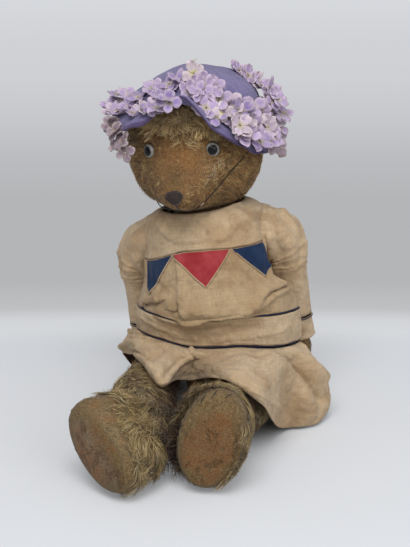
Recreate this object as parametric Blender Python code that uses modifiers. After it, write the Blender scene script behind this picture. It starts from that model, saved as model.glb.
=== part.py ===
"""A threadbare jointed teddy bear, seated, in a linen dress and a flowered hat.

The bear faces -Y and +X is its own left side. Its seat rests on z = 0. The upper body
leans to its right, so forms are drawn upright and lean() bends them into place.
"""
import math
import random

import bmesh
import bpy
from mathutils import Matrix, Vector

# Clearances between pieces, in metres like every size below
GAP = 0.0004
CLOTH = 0.0012
CLOTH_GAP = 0.0005

# How the seated bear leans
SEAT_X = 0.0
LEAN = math.radians(8.0)
BEND_START = 0.05
BEND_LENGTH = 0.08

# Where the head turns
NECK_HEIGHT = 0.2245
NECK_Y = 0.002

# Torso: height, half width, half depth, centre y
TORSO = [
    (0.000, 0.025, 0.027, 0.004),
    (0.004, 0.0305, 0.036, 0.003),
    (0.020, 0.0350, 0.046, 0.000),
    (0.050, 0.0375, 0.053, -0.005),
    (0.080, 0.045, 0.057, -0.010),
    (0.110, 0.0485, 0.058, -0.011),
    (0.170, 0.0495, 0.047, -0.005),
    (0.192, 0.0490, 0.041, 0.000),
    (NECK_HEIGHT - 0.0135, 0.0400, 0.035, 0.002),
    (NECK_HEIGHT - 0.0030, 0.0300, 0.029, 0.002),
    (NECK_HEIGHT, 0.0250, 0.025, 0.002),
]
TORSO_SIDES = 16
SEAT_SIDES = 12

# Joints of the limbs
SHOULDER_HEIGHT = 0.188
SHOULDER_Y = 0.010
SHOULDER_FACE = 0.0480
SHOULDER_SEAT_RADIUS = 0.030
HIP_HEIGHT = 0.046
HIP_Y = 0.008
HIP_FACE = 0.034
HIP_SEAT_RADIUS = 0.049
SEAT_CUT = 0.03

# Disc joints: two discs in pockets, clamped by a cotter pin
DISC_THICKNESS = 0.0030
DISC_DEPTH = 0.0070
PIN_RADIUS = 0.0015
PIN_HEAD_RADIUS = 0.0040
PIN_HEAD = 0.0012
PIN_CLEARANCE = 0.0005
DISC_SIDES = 8
PIN_SIDES = 6

# Head, from the neck joint upwards
HEAD_CENTRE = Vector((0.0, -0.006, 0.0605))
HEAD_HALF = Vector((0.068, 0.060, 0.060))
HEAD_LOWER_HALF_HEIGHT = 0.070
HEAD_ROLL = math.radians(4.0)
MUZZLE_AIM = Vector((0.0, -0.93, -0.37))
MUZZLE_LENGTH = 0.034
MUZZLE_SPREAD = 0.40
HEAD_SEGMENTS = 18
HEAD_RINGS = 12
SET_IN_SEGMENTS = 8
SET_IN_RINGS = 6
EYE_RADIUS = 0.0074
EYE_AIM = Vector((0.47, -0.84, 0.10))
EYE_SINK = 0.35
EAR_HALF = Vector((0.0150, 0.0055, 0.0230))
EAR_AIM = Vector((0.95, 0.14, 0.31))
EAR_SINK = 0.0025
NOSE_SINK = 0.0020
NOSE_HALF = Vector((0.0085, 0.0050, 0.0072))
NOSE_AIM = Vector((0.0, -0.945, -0.31))

# Arms, from the shoulder: drop, outward step, backward step, half width, half depth
ARM = [
    (-0.0220, 0.0000, 0.000, 0.0085, 0.0095),
    (-0.0145, 0.0000, 0.000, 0.0170, 0.0185),
    (0.0080, 0.0015, 0.002, 0.0190, 0.0215),
    (0.0220, 0.0070, 0.006, 0.0165, 0.0190),
    (0.0360, 0.0070, 0.0122, 0.0152, 0.0172),
    (0.1000, 0.0066, 0.0340, 0.0142, 0.0155),
    (0.1300, 0.0066, 0.0435, 0.0140, 0.0152),
    (0.1500, 0.0066, 0.0470, 0.0134, 0.0146),
    (0.1620, 0.0066, 0.0485, 0.0098, 0.0118),
    (0.1665, 0.0066, 0.0485, 0.0042, 0.0057),
]
ARM_THICKNESS = 0.0380
ARM_SPLAY = {"left": -0.03, "right": 0.15}
ARM_SIDES = 12
ARM_DISC_RADIUS = 0.0130
PAW_PAD_DROP = 0.146
PAW_PAD_HALF = Vector((0.0090, 0.0030, 0.0120))

# Legs, from the hip joint: forward reach, half width, half height, and how far the
# section's centre has moved along the way from hip to foot (0 to 1)
LEG = [
    (-0.0190, 0.0090, 0.0100, 0.00),
    (-0.0150, 0.0160, 0.0175, 0.00),
    (-0.0070, 0.0210, 0.0240, 0.00),
    (0.0100, 0.0225, 0.0255, 0.05),
    (0.0480, 0.0230, 0.0262, 0.26),
    (0.0900, 0.0245, 0.0275, 0.55),
    (0.1220, 0.0275, 0.0325, 0.82),
    (0.1400, 0.0300, 0.0400, 0.93),
    (0.1560, 0.0312, 0.0450, 0.98),
    (0.1730, 0.0312, 0.0475, 1.00),
    (0.1815, 0.0302, 0.0460, 1.00),
    (0.1870, 0.0272, 0.0425, 1.00),
]
LEG_THICKNESS = 0.0450
LEG_SIDES = 16
LEG_DISC_RADIUS = 0.0150
FOOT_LENGTH_LEAN = {"left": math.radians(14.0), "right": math.radians(-47.0)}
FOOT_TURN = {"left": math.radians(6.0), "right": math.radians(-27.0)}
FOOT_PITCH = {"left": math.radians(6.0), "right": math.radians(1.0)}
FOOT_CENTRE = {
    "left": Vector((0.0365, -0.190, 0.0490)),
    "right": Vector((-0.0587, -0.2160, 0.0436)),
}
FOOT_TURN_START = 0.090
FOOT_TURN_END = 0.150
SOLE_STEP = 0.009
PAD_THICKNESS = 0.0022
PAD_DOME = 0.0020
PAD_WIDTH_SHARE = 0.90
PAD_HEIGHT_SHARE = 0.85
PAD_DROP = 0.0055

# Dress, as half widths and half depths by height: height, front width, front depth,
# back width, back depth
DRESS = [
    (0.080, 0.0865, 0.0760, 0.0470, 0.054),
    (0.095, 0.0875, 0.0775, 0.0480, 0.054),
    (0.112, 0.0870, 0.0785, 0.0485, 0.053),
    (0.126, 0.0830, 0.0860, 0.0495, 0.053),
    (0.140, 0.0770, 0.0830, 0.0505, 0.053),
    (0.155, 0.0715, 0.0760, 0.0510, 0.052),
    (0.172, 0.0690, 0.0690, 0.0540, 0.050),
    (0.190, 0.0665, 0.0620, 0.0610, 0.048),
    (0.205, 0.0640, 0.0575, 0.0620, 0.046),
    (0.2150, 0.0600, 0.0535, 0.0595, 0.044),
    (0.2205, 0.0530, 0.0505, 0.0525, 0.043),
    (0.2240, 0.0430, 0.0475, 0.0420, 0.041),
]
DRESS_SIDES = 32
FLARE_FADE = math.radians(14.0)
FLARE_END = [(0.118, math.radians(102.0)), (0.150, math.radians(80.0))]
BELT_BOTTOM = 0.0840
BELT_TOP = 0.1120
BELT_FRONT_RISE = 0.0110
BELT_RIGHT_RISE = 0.0050
BELT_LEFT_DROP = 0.0100
BELT_LIFT = 0.0004
YOKE_SEAM = 0.190
YOKE_SEAM_RIGHT_DIP = 0.013
YOKE_SEAM_LEFT_DIP = 0.004
ARMHOLE_RADIUS = 0.0318
ARMHOLE_INSET = -0.002
ARMHOLE_SIDES = 16
PIPING_RADIUS = 0.0009
PIPING_POINTS = 32
GATHERS = 11
BODICE_FOLD = 0.0022
YOKE_ROWS = 4
BODICE_ROWS = 6

# Skirt hem: turn in degrees from the front towards the bear's left, then x, y, z
HEM = [
    (0, -0.012, -0.081, 0.058),
    (12, 0.003, -0.092, 0.066),
    (22, 0.022, -0.120, 0.080),
    (34, 0.046, -0.146, 0.088),
    (46, 0.072, -0.140, 0.067),
    (57, 0.0765, -0.108, 0.036),
    (66, 0.0770, -0.072, 0.012),
    (74, 0.084, -0.052, 0.0035),
    (82, 0.099, -0.044, 0.0035),
    (90, 0.113, -0.030, 0.0035),
    (98, 0.120, -0.008, 0.014),
    (106, 0.110, 0.002, 0.012),
    (116, 0.091, 0.013, 0.006),
    (126, 0.080, 0.030, 0.0035),
    (140, 0.060, 0.045, 0.0035),
    (155, 0.042, 0.068, 0.0035),
    (172, 0.016, 0.090, 0.0035),
    (190, -0.026, 0.090, 0.0035),
    (206, -0.052, 0.068, 0.0035),
    (220, -0.062, 0.042, 0.0035),
    (234, -0.080, 0.027, 0.0035),
    (245, -0.092, 0.012, 0.012),
    (254, -0.104, -0.001, 0.038),
    (264, -0.104, -0.018, 0.055),
    (276, -0.090, -0.036, 0.062),
    (288, -0.078, -0.062, 0.072),
    (306, -0.054, -0.103, 0.079),
    (326, -0.026, -0.143, 0.0765),
    (345, -0.022, -0.102, 0.066),
]
SKIRT_SIDES = 48
SKIRT_ROWS = 6
SKIRT_FOLD = 0.0022
SKIRT_PUFF = 0.0030
DRAPE = 1.8
SPREAD = 2.2

# Sleeves, from the shoulder: centre out, back, drop, section tilt in degrees, radius
SLEEVE = [
    (0.0030, 0.000, 0.0000, 0.0, 0.0286),
    (0.0141, 0.000, 0.0002, 12.0, 0.0291),
    (0.0222, 0.002, 0.0061, 32.0, 0.0272),
    (0.0278, 0.006, 0.0185, 56.0, 0.0244),
    (0.0278, 0.011, 0.0340, 81.0, 0.0212),
    (0.0266, 0.0185, 0.0550, 90.0, 0.0194),
    (0.0262, 0.0360, 0.1060, 90.0, 0.0188),
]
SLEEVE_SIDES = 16
SLEEVE_PUCKER = 0.0007
SLEEVE_END = {"left": 0.132, "right": 0.128}
CUFF_LENGTH = 0.026
CUFF_RADIUS = 0.0186

# Pennants: turn of the left corner, of the right corner and of the tip, in degrees
PENNANTS = {
    "right": (-55.0, -20.0, -42.0),
    "middle": (-18.0, 32.0, 9.0),
    "left": (34.0, 66.0, 59.0),
}
PENNANT_DROP = 0.033
PENNANT_LIFT = {"right": 0.0009, "middle": 0.0013, "left": 0.0007}
PENNANT_THICKNESS = 0.0007

# Hat, in its own frame at the foot of the crown
HAT_PLACE = Vector((-0.0290, -0.004, 0.3180))
HAT_ROLL = math.radians(6.0)
HAT_CLOTH = 0.0014
CROWN = [(0.010, 0.0480), (0.034, 0.0440), (0.053, 0.0330), (0.065, 0.0160), (0.0685, 0.0)]
BRIM_RADIUS = 0.0890
BRIM_SIDE_DROP = 0.0260
BRIM_FRONT_RISE = 0.0270
BRIM_NOTCH_WIDTH = math.radians(13.0)
BRIM_ARCH_WIDTH = math.radians(36.0)
BRIM_NOTCH_SHARE = 0.30
BRIM_NOTCH_TURN = math.radians(6.0)
BRIM_FRONT_RADIUS = 0.0840
BRIM_BOW = 0.0040
BRIM_ROWS = (1.0, 0.5, 0.0)
CROWN_FRONT_RISE = 0.0190
HAT_TURN_EASE = 0.45
CROWN_LEAN = 0.16
CROWN_SLUMP = 0.28
CROWN_SLUMP_START = 0.018
CROWN_SLUMP_SPAN = 0.045
HAT_SIDES = 26
FLORETS = 12
PETALS = 4
PETAL_REACH = 0.0162
PETAL_NOTCH = 0.46
PETAL_SHOULDER = math.radians(24.0)
PETAL_CUP = 0.0026
PETAL_THICKNESS = 0.0011
STEM_RADIUS = 0.0012
FLORET_HIGH = 0.62
FLORET_LOW = 0.34
FLORET_NOTCH_LIMIT = 0.20
FLORET_LIFT = 0.0052
FLORET_SEAT = 0.0005
FLORET_NOTCH_LIFT = 0.0040

# Elastic under the chin
ELASTIC_RADIUS = 0.0008
ELASTIC_SIDE_GAP = 0.0012
ELASTIC_STEPS = 24
ELASTIC_FLOOR = 0.004

COLOURS = {
    "mohair": (0.30, 0.19, 0.09),
    "felt": (0.27, 0.12, 0.05),
    "linen": (0.62, 0.45, 0.30),
    "blue": (0.02, 0.05, 0.16),
    "red": (0.42, 0.03, 0.04),
    "navy": (0.02, 0.03, 0.09),
    "lavender": (0.27, 0.24, 0.52),
    "petal": (0.60, 0.50, 0.78),
    "glass": (0.20, 0.22, 0.22),
    "wool": (0.02, 0.012, 0.01),
    "board": (0.25, 0.15, 0.08),
    "steel": (0.45, 0.45, 0.45),
}


def collection(name):
    """A named collection linked to the scene."""
    made = bpy.data.collections.new(name)
    bpy.context.scene.collection.children.link(made)
    return made


def material(name, colour, metallic=0.0, roughness=0.9):
    """A Principled material of one of the named colours."""
    made = bpy.data.materials.new(name)
    made.use_nodes = True
    surface = made.node_tree.nodes["Principled BSDF"]
    surface.inputs["Base Color"].default_value = (*COLOURS[colour], 1.0)
    surface.inputs["Metallic"].default_value = metallic
    surface.inputs["Roughness"].default_value = roughness
    return made


def place(name, mesh, colour, parent=None, group=None, **finish):
    """Put a mesh in the scene as a named, smooth-shaded part."""
    made = bpy.data.objects.new(name, mesh)
    mesh.shade_smooth()
    mesh.set_sharp_from_angle(angle=math.radians(50.0))
    mesh.materials.append(material(name, colour, **finish))
    (group or PARTS).objects.link(made)
    if parent:
        made.parent = parent
    return made


def mesh_of(bm, name):
    """Close a bmesh into a mesh datablock."""
    mesh = bpy.data.meshes.new(name)
    bm.to_mesh(mesh)
    bm.free()
    return mesh


def between(stations, at):
    """Values of a table of stations at a place along it, on a smooth curve."""
    last = len(stations) - 1
    at = min(max(at, stations[0][0]), stations[last][0])
    index = next(i for i in range(last) if at <= stations[i + 1][0])
    before, start = stations[max(index - 1, 0)], stations[index]
    end, after = stations[index + 1], stations[min(index + 2, last)]
    span = end[0] - start[0]
    share = (at - start[0]) / span
    values = []
    for column in range(1, len(start)):
        rise = end[column] - start[column]
        slope_in = rise if index == 0 else span * (end[column] - before[column]) / (end[0] - before[0])
        slope_out = rise if index + 1 == last else span * (after[column] - start[column]) / (after[0] - start[0])
        cube, square = share ** 3, share ** 2
        values.append((2 * cube - 3 * square + 1) * start[column] + (cube - 2 * square + share) * slope_in
                      + (3 * square - 2 * cube) * end[column] + (cube - square) * slope_out)
    return values


def smooth_step(value):
    """Ease from 0 to 1."""
    value = min(max(value, 0.0), 1.0)
    return value * value * (3.0 - 2.0 * value)


def lean(point):
    """Bend an upright point into the leaning bear."""
    x, y, height = point
    along = min(max(height - BEND_START, 0.0), BEND_LENGTH)
    angle = LEAN * along / BEND_LENGTH
    bend_radius = BEND_LENGTH / LEAN
    past = height - BEND_START - along
    centre_x = SEAT_X - bend_radius * (1.0 - math.cos(angle)) - past * math.sin(angle)
    centre_z = BEND_START + bend_radius * math.sin(angle) + past * math.cos(angle)
    if height < BEND_START:
        centre_z = height
        centre_x = SEAT_X
    return Vector((centre_x + x * math.cos(angle), y, centre_z + x * math.sin(angle)))


def empty(name, place_at, roll=0.0, parent=None):
    """A frame for one joint: its origin on the axis, rolled about Y."""
    made = bpy.data.objects.new(name, None)
    made.empty_display_size = 0.02
    made.location = place_at
    made.rotation_euler = (0.0, -roll, 0.0)
    made.parent = parent
    PARTS.objects.link(made)
    return made


def skin(rings, cap_start=False, cap_end=False, closed_loop=True):
    """Faces between rings of points, with flat caps where asked."""
    bm = bmesh.new()
    rows = [[bm.verts.new(point) for point in ring] for ring in rings]
    count = len(rows[0])
    spans = count if closed_loop else count - 1
    for row, following in zip(rows, rows[1:]):
        for i in range(spans):
            j = (i + 1) % count
            bm.faces.new((row[i], following[i], following[j], row[j]))
    if cap_start:
        bm.faces.new(rows[0])
    if cap_end:
        bm.faces.new(list(reversed(rows[-1])))
    return bm


def closed_form(rings, name):
    """A closed body lofted through rings, facing out."""
    bm = skin(rings, cap_start=True, cap_end=True)
    bmesh.ops.recalc_face_normals(bm, faces=bm.faces)
    return mesh_of(bm, name)


def cloth(name, rings, colour, parent=None, closed_loop=True, thickness=CLOTH):
    """A sheet of cloth: an open surface through rings, thickened outwards."""
    mesh = mesh_of(skin(rings, closed_loop=closed_loop), name)
    made = place(name, mesh, colour, parent)
    thicken = made.modifiers.new("Cloth", "SOLIDIFY")
    thicken.thickness = thickness
    thicken.offset = 1.0
    return made


def ball(name, half, colour, segments=SET_IN_SEGMENTS, rings=SET_IN_RINGS, parent=None, **finish):
    """An ellipsoid."""
    bm = bmesh.new()
    bmesh.ops.create_uvsphere(bm, u_segments=segments, v_segments=rings, radius=1.0)
    bmesh.ops.scale(bm, vec=half, verts=bm.verts)
    return place(name, mesh_of(bm, name), colour, parent, **finish)


def cutter(name, mesh, parent, matrix):
    """A hidden tool for a Boolean cut."""
    made = bpy.data.objects.new(name, mesh)
    CUTTERS.objects.link(made)
    made.parent = parent
    made.matrix_local = matrix
    made.hide_render = True
    made.display_type = "WIRE"
    return made


def drum(radius, start, end, sides):
    """A cylinder along +X from start to end."""
    bm = bmesh.new()
    bmesh.ops.create_cone(bm, cap_ends=True, segments=sides, radius1=radius, radius2=radius,
                          depth=end - start)
    turn = Matrix.Rotation(math.radians(90.0), 4, "Y")
    shift = Matrix.Translation(((start + end) / 2.0, 0.0, 0.0))
    bmesh.ops.transform(bm, matrix=shift @ turn, verts=bm.verts)
    return mesh_of(bm, "drum")


def cut(target, tool, operation="DIFFERENCE"):
    """Cut one object with another."""
    made = target.modifiers.new(tool.name, "BOOLEAN")
    made.operation = operation
    made.object = tool
    return made


def turned(name, profile, steps, colour, parent, matrix, **finish):
    """A turned piece: a closed profile of (along X, radius) spun about X."""
    bm = bmesh.new()
    corners = [bm.verts.new((radius, 0.0, along)) for along, radius in profile]
    for corner, following in zip(corners, corners[1:]):
        bm.edges.new((corner, following))
    if profile[0][1] > 0.0:
        bm.edges.new((corners[-1], corners[0]))
    made = place(name, mesh_of(bm, name), colour, parent, **finish)
    spin = made.modifiers.new("Spin", "SCREW")
    spin.steps = steps
    spin.render_steps = steps
    spin.use_merge_vertices = True
    spin.merge_threshold = 0.00001
    spin.use_normal_calculate = True
    spin.use_normal_flip = True
    made.matrix_local = matrix @ Matrix.Rotation(math.radians(90.0), 4, "Y")
    return made


def disc_joint(label, radius, frame, torso, limb, outward):
    """Two discs and a cotter pin along outward, in pockets of torso and limb."""
    aim = outward.to_track_quat("X", "Y").to_matrix().to_4x4()
    inner, outer = DISC_DEPTH, DISC_DEPTH + DISC_THICKNESS
    room = outer + GAP + PIN_HEAD + 2.0 * GAP
    pocket_radius = radius + 2.0 * GAP
    hole = PIN_RADIUS + PIN_CLEARANCE
    for side, piece, sign in (("limb", limb, 1.0), ("body", torso, -1.0)):
        low, high = sorted((sign * (inner - GAP), sign * room))
        pocket = cutter(f"{label}_{side}_pocket", drum(pocket_radius, low, high, DISC_SIDES), frame, aim)
        low, high = sorted((-sign * GAP * 3.0, sign * inner))
        bore = cutter(f"{label}_{side}_bore", drum(hole, low, high, PIN_SIDES), frame, aim)
        cut(piece, pocket)
        cut(piece, bore)
        low, high = sorted((sign * inner, sign * outer))
        turned(f"{label}_{side}_disc", [(low, hole), (high, hole), (high, radius), (low, radius)],
               DISC_SIDES, "board", frame, aim)
    head = outer + GAP
    end = head + PIN_HEAD
    profile = [(-end, 0.0), (-end, PIN_HEAD_RADIUS), (-head, PIN_HEAD_RADIUS), (-head, PIN_RADIUS),
               (head, PIN_RADIUS), (head, PIN_HEAD_RADIUS), (end, PIN_HEAD_RADIUS), (end, 0.0)]
    turned(f"{label}_pin", profile, PIN_SIDES, "steel", frame, aim, metallic=1.0, roughness=0.4)


def torso_form():
    """The stuffed torso with flat seats where the limbs and head lie on it."""
    rings = []
    for height, width, depth, centre_y in TORSO:
        ring = []
        for i in range(TORSO_SIDES):
            turn = 2.0 * math.pi * i / TORSO_SIDES
            upright = (width * math.cos(turn), centre_y + depth * math.sin(turn), height)
            ring.append(lean(upright))
        rings.append(ring)
    torso = place("torso", closed_form(rings, "torso"), "mohair")
    for side, sign in SIDES:
        shoulder = cutter(f"{side}_shoulder_seat", drum(SHOULDER_SEAT_RADIUS, 0.0, SEAT_CUT, SEAT_SIDES),
                          JOINTS[f"{side}_shoulder"], Matrix.Rotation(0.0 if sign > 0 else math.pi, 4, "Z"))
        hip = cutter(f"{side}_hip_seat", drum(HIP_SEAT_RADIUS, 0.0, SEAT_CUT, SEAT_SIDES),
                     JOINTS[f"{side}_hip"], Matrix.Rotation(0.0 if sign > 0 else math.pi, 4, "Z"))
        cut(torso, shoulder)
        cut(torso, hip)
    return torso


def head_point(aim, lift=0.0):
    """A point of the head's surface in a direction from its centre, in the neck frame."""
    aim = aim.normalized()
    half_height = HEAD_HALF.z if aim.z > 0.0 else HEAD_LOWER_HALF_HEIGHT
    point = Vector((aim.x * HEAD_HALF.x, aim.y * HEAD_HALF.y, aim.z * half_height))
    muzzle = MUZZLE_AIM.normalized()
    away = aim.angle(muzzle)
    point += muzzle * MUZZLE_LENGTH * math.exp(-((away / MUZZLE_SPREAD) ** 2))
    point += aim * lift
    rolled = Matrix.Rotation(HEAD_ROLL, 3, "Y") @ point
    return HEAD_CENTRE + rolled


def head_form(frame):
    """The stuffed head, flat where it meets the torso."""
    bm = bmesh.new()
    bmesh.ops.create_uvsphere(bm, u_segments=HEAD_SEGMENTS, v_segments=HEAD_RINGS, radius=1.0)
    for vert in bm.verts:
        vert.co = head_point(vert.co)
        vert.co.z = max(vert.co.z, GAP)
    return place("head", mesh_of(bm, "head"), "mohair", frame)


def pocket_for(piece, half, matrix, target, frame):
    """Cut the pocket that an ellipsoid piece sits in."""
    bm = bmesh.new()
    bmesh.ops.create_uvsphere(bm, u_segments=SET_IN_SEGMENTS, v_segments=SET_IN_RINGS, radius=1.0)
    bmesh.ops.scale(bm, vec=half + Vector((GAP, GAP, GAP)), verts=bm.verts)
    tool = cutter(f"{piece.name}_pocket", mesh_of(bm, "pocket"), frame, matrix)
    cut(target, tool)


def set_in_head(name, half, aim, sink, colour, head, frame, **finish):
    """A piece let into a pocket of the head, such as an eye."""
    spot = head_point(aim, -sink)
    turn = aim.to_track_quat("-Y", "Z").to_matrix().to_4x4()
    piece = ball(name, half, colour, parent=frame, **finish)
    matrix = Matrix.Translation(spot) @ turn
    piece.matrix_local = matrix
    pocket_for(piece, half, matrix, head, frame)


def arm_form(side, sign, frame):
    """A stuffed arm that hangs from its shoulder disc."""
    rings = []
    splay = ARM_SPLAY[side]
    for drop, out, back, width, depth in ARM:
        centre = Vector((sign * (ARM_THICKNESS / 2.0 + GAP + out + splay * max(drop, 0.0)), back, -drop))
        ring = []
        for i in range(ARM_SIDES):
            turn = 2.0 * math.pi * i / ARM_SIDES
            across = max(-ARM_THICKNESS / 2.0, width * math.cos(turn))
            ring.append(centre + Vector((sign * across, depth * math.sin(turn), 0.0)))
        rings.append(ring)
    arm = place(f"{side}_arm", closed_form(rings, "arm"), "mohair", frame)
    drop, out, back, width, depth = (PAW_PAD_DROP, *between(ARM, PAW_PAD_DROP))
    spot = Vector((sign * (ARM_THICKNESS / 2.0 + GAP + out + splay * drop), back - depth + 0.0004, -drop))
    pad = ball(f"{side}_paw_pad", PAW_PAD_HALF, "felt", parent=frame)
    matrix = Matrix.Translation(spot)
    pad.matrix_local = matrix
    pocket_for(pad, PAW_PAD_HALF, matrix, arm, frame)
    return arm


def foot_frame(side):
    """The axes of a foot: across the sole, up the sole and out of it."""
    turn = Matrix.Rotation(FOOT_TURN[side], 3, "Z")
    pitch = Matrix.Rotation(-FOOT_PITCH[side], 3, "X")
    spin = Matrix.Rotation(FOOT_LENGTH_LEAN[side], 3, "Y")
    frame = turn @ pitch @ spin
    return frame @ Vector((1.0, 0.0, 0.0)), frame @ Vector((0.0, 0.0, 1.0)), frame @ Vector((0.0, -1.0, 0.0))


def leg_ring(side, sign, reach, width, height, share, lift=0.0, scale=1.0):
    """One section of a leg, in world coordinates."""
    hip = hip_place(sign) + Vector((sign * (LEG_THICKNESS / 2.0 + GAP), 0.0, 0.0))
    across, up, out = foot_frame(side)
    turned_share = smooth_step((reach - FOOT_TURN_START) / (FOOT_TURN_END - FOOT_TURN_START))
    foot_end = LEG[-1][0]
    straight = hip.lerp(FOOT_CENTRE[side], share)
    straight.y = hip.y - reach * (hip.y - FOOT_CENTRE[side].y) / (foot_end - SOLE_STEP)
    foot = FOOT_CENTRE[side] + out * (reach - foot_end + SOLE_STEP)
    centre = straight.lerp(foot, turned_share) + out * lift
    ring = []
    for i in range(LEG_SIDES):
        turn = 2.0 * math.pi * i / LEG_SIDES
        side_step = Vector((1.0, 0.0, 0.0)).lerp(across, turned_share).normalized()
        up_step = Vector((0.0, 0.0, 1.0)).lerp(up, turned_share).normalized()
        ring.append(centre + side_step * width * scale * math.cos(turn)
                    + up_step * height * scale * math.sin(turn))
    return ring


def leg_form(side, sign, frame):
    """A stuffed leg with its foot, and the felt pad on the sole."""
    to_local = Matrix.Translation(-frame.location)
    rings = [[to_local @ p for p in leg_ring(side, sign, *row)] for row in LEG]
    face = hip_place(sign).x + sign * GAP - frame.location.x
    for ring in rings[:5]:
        for point in ring:
            point.x = max(point.x, face) if sign > 0 else min(point.x, face)
    leg = place(f"{side}_leg", closed_form(rings, "leg"), "mohair", frame)
    end = LEG[-1]
    pad_rings = []
    reach, width, height, share = end
    down = foot_frame(side)[1] * -PAD_DROP
    for lift, scale in ((GAP, 1.0), (PAD_THICKNESS * 0.6, 1.0), (PAD_THICKNESS + PAD_DOME * 0.5, 0.75),
                        (PAD_THICKNESS + PAD_DOME, 0.35)):
        ring = leg_ring(side, sign, reach, width * PAD_WIDTH_SHARE, height * PAD_HEIGHT_SHARE, share,
                        lift=lift, scale=scale)
        pad_rings.append([to_local @ (point + down) for point in ring])
    place(f"{side}_foot_pad", closed_form(pad_rings, "pad"), "felt", frame)
    return leg


def hip_place(sign):
    """Where a leg's inner face lies on the torso."""
    return Vector((SEAT_X + sign * HIP_FACE, HIP_Y, HIP_HEIGHT))


def dress_point(turn, height, lift=0.0):
    """A point of the dress: turn is from the front towards the bear's left."""
    front_width, front_depth, back_width, back_depth = between(DRESS, height)
    size = abs(math.remainder(turn, 2.0 * math.pi))
    front_radius = ellipse_radius(front_width, front_depth, size)
    back_radius = ellipse_radius(back_width, back_depth, size)
    flare_end = between(FLARE_END, height)[0]
    share = smooth_step((size - flare_end + FLARE_FADE) / FLARE_FADE)
    radius = front_radius + (back_radius - front_radius) * share + lift
    return lean((radius * math.sin(turn), -radius * math.cos(turn), height))


def ellipse_radius(width, depth, turn):
    """Distance from an ellipse's centre to its edge, turn from the depth axis."""
    return 1.0 / math.hypot(math.cos(turn) / depth, math.sin(turn) / width)


def seam_height(turn):
    """The yoke's lower seam: lower on the bear's right."""
    right_dip = YOKE_SEAM_RIGHT_DIP * smooth_step((-math.sin(turn) - 0.1) / 0.9)
    left_dip = YOKE_SEAM_LEFT_DIP * smooth_step((math.sin(turn) - 0.1) / 0.9)
    return YOKE_SEAM - right_dip - left_dip


def belt_height(base, turn):
    """A height on the belt, which rides up over the lap and sags on the bear's left."""
    sag = BELT_LEFT_DROP * smooth_step((math.sin(turn) - 0.4) / 0.6)
    tilt = BELT_RIGHT_RISE * smooth_step((-math.sin(turn) - 0.1) / 0.5)
    return base + (BELT_FRONT_RISE + tilt) * front_share(turn) - sag


def dress_ring(height_at, lift_at, sides=DRESS_SIDES):
    """A ring round the dress, its height and lift given by turn."""
    ring = []
    for i in range(sides):
        turn = 2.0 * math.pi * i / sides
        ring.append(dress_point(turn, height_at(turn), lift_at(turn)))
    return ring


def front_share(turn):
    """1 at the front of the dress, 0 at its back."""
    return smooth_step(0.5 + 0.75 * math.cos(turn))


def gather(turn, size):
    """Small upright folds where the cloth is drawn in."""
    return size * (0.5 + 0.5 * math.cos(GATHERS * turn + 0.6 * math.sin(3.0 * turn))) * front_share(turn)


def dress_pieces():
    """Yoke, bodice, belt with piping, skirt and pennants."""
    yoke_rings = []
    for row in range(YOKE_ROWS):
        share = row / (YOKE_ROWS - 1)
        yoke_rings.append(dress_ring(
            lambda turn: DRESS[-1][0] + (seam_height(turn) - DRESS[-1][0]) * share, lambda turn: 0.0))
    yoke = cloth("yoke", yoke_rings, "linen")

    bodice_rings = []
    for row in range(BODICE_ROWS):
        share = row / (BODICE_ROWS - 1)

        def bodice_height(turn):
            top = seam_height(turn) - CLOTH_GAP
            bottom = belt_height(BELT_TOP + 2.0 * PIPING_RADIUS + 2.0 * GAP + CLOTH_GAP, turn)
            return top + (bottom - top) * share

        fold = BODICE_FOLD * math.sin(math.pi * min(share * 1.15, 1.0))
        bodice_rings.append(dress_ring(bodice_height, lambda turn: gather(turn, fold)))
    bodice = cloth("bodice", bodice_rings, "linen")

    for side, sign in SIDES:
        for garment in (yoke, bodice):
            form = drum(ARMHOLE_RADIUS, ARMHOLE_INSET, SEAT_CUT, ARMHOLE_SIDES)
            armhole = cutter(f"{side}_armhole_{garment.name}", form, JOINTS[f"{side}_shoulder"],
                             Matrix.Rotation(0.0 if sign > 0 else math.pi, 4, "Z"))
            cut(garment, armhole)

    belt_rings = [dress_ring(lambda turn: belt_height(height, turn), lambda turn: BELT_LIFT)
                  for height in (BELT_TOP, BELT_BOTTOM)]
    cloth("belt", belt_rings, "linen", thickness=CLOTH * 1.3)
    for name, height in (("belt_piping_top", BELT_TOP + PIPING_RADIUS + GAP),
                         ("belt_piping_bottom", BELT_BOTTOM - PIPING_RADIUS - GAP)):
        ring = dress_ring(lambda turn: belt_height(height, turn),
                          lambda turn: BELT_LIFT + CLOTH * 0.65, PIPING_POINTS)
        tube(name, ring, PIPING_RADIUS, "navy", cyclic=True)

    skirt_top = BELT_BOTTOM - 2.0 * PIPING_RADIUS - 2.0 * GAP - CLOTH - CLOTH_GAP
    cloth("skirt", skirt_rings(skirt_top), "linen")

    for side, corners in PENNANTS.items():
        pennant(f"{side}_pennant", corners, PENNANT_LIFT[side])


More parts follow.
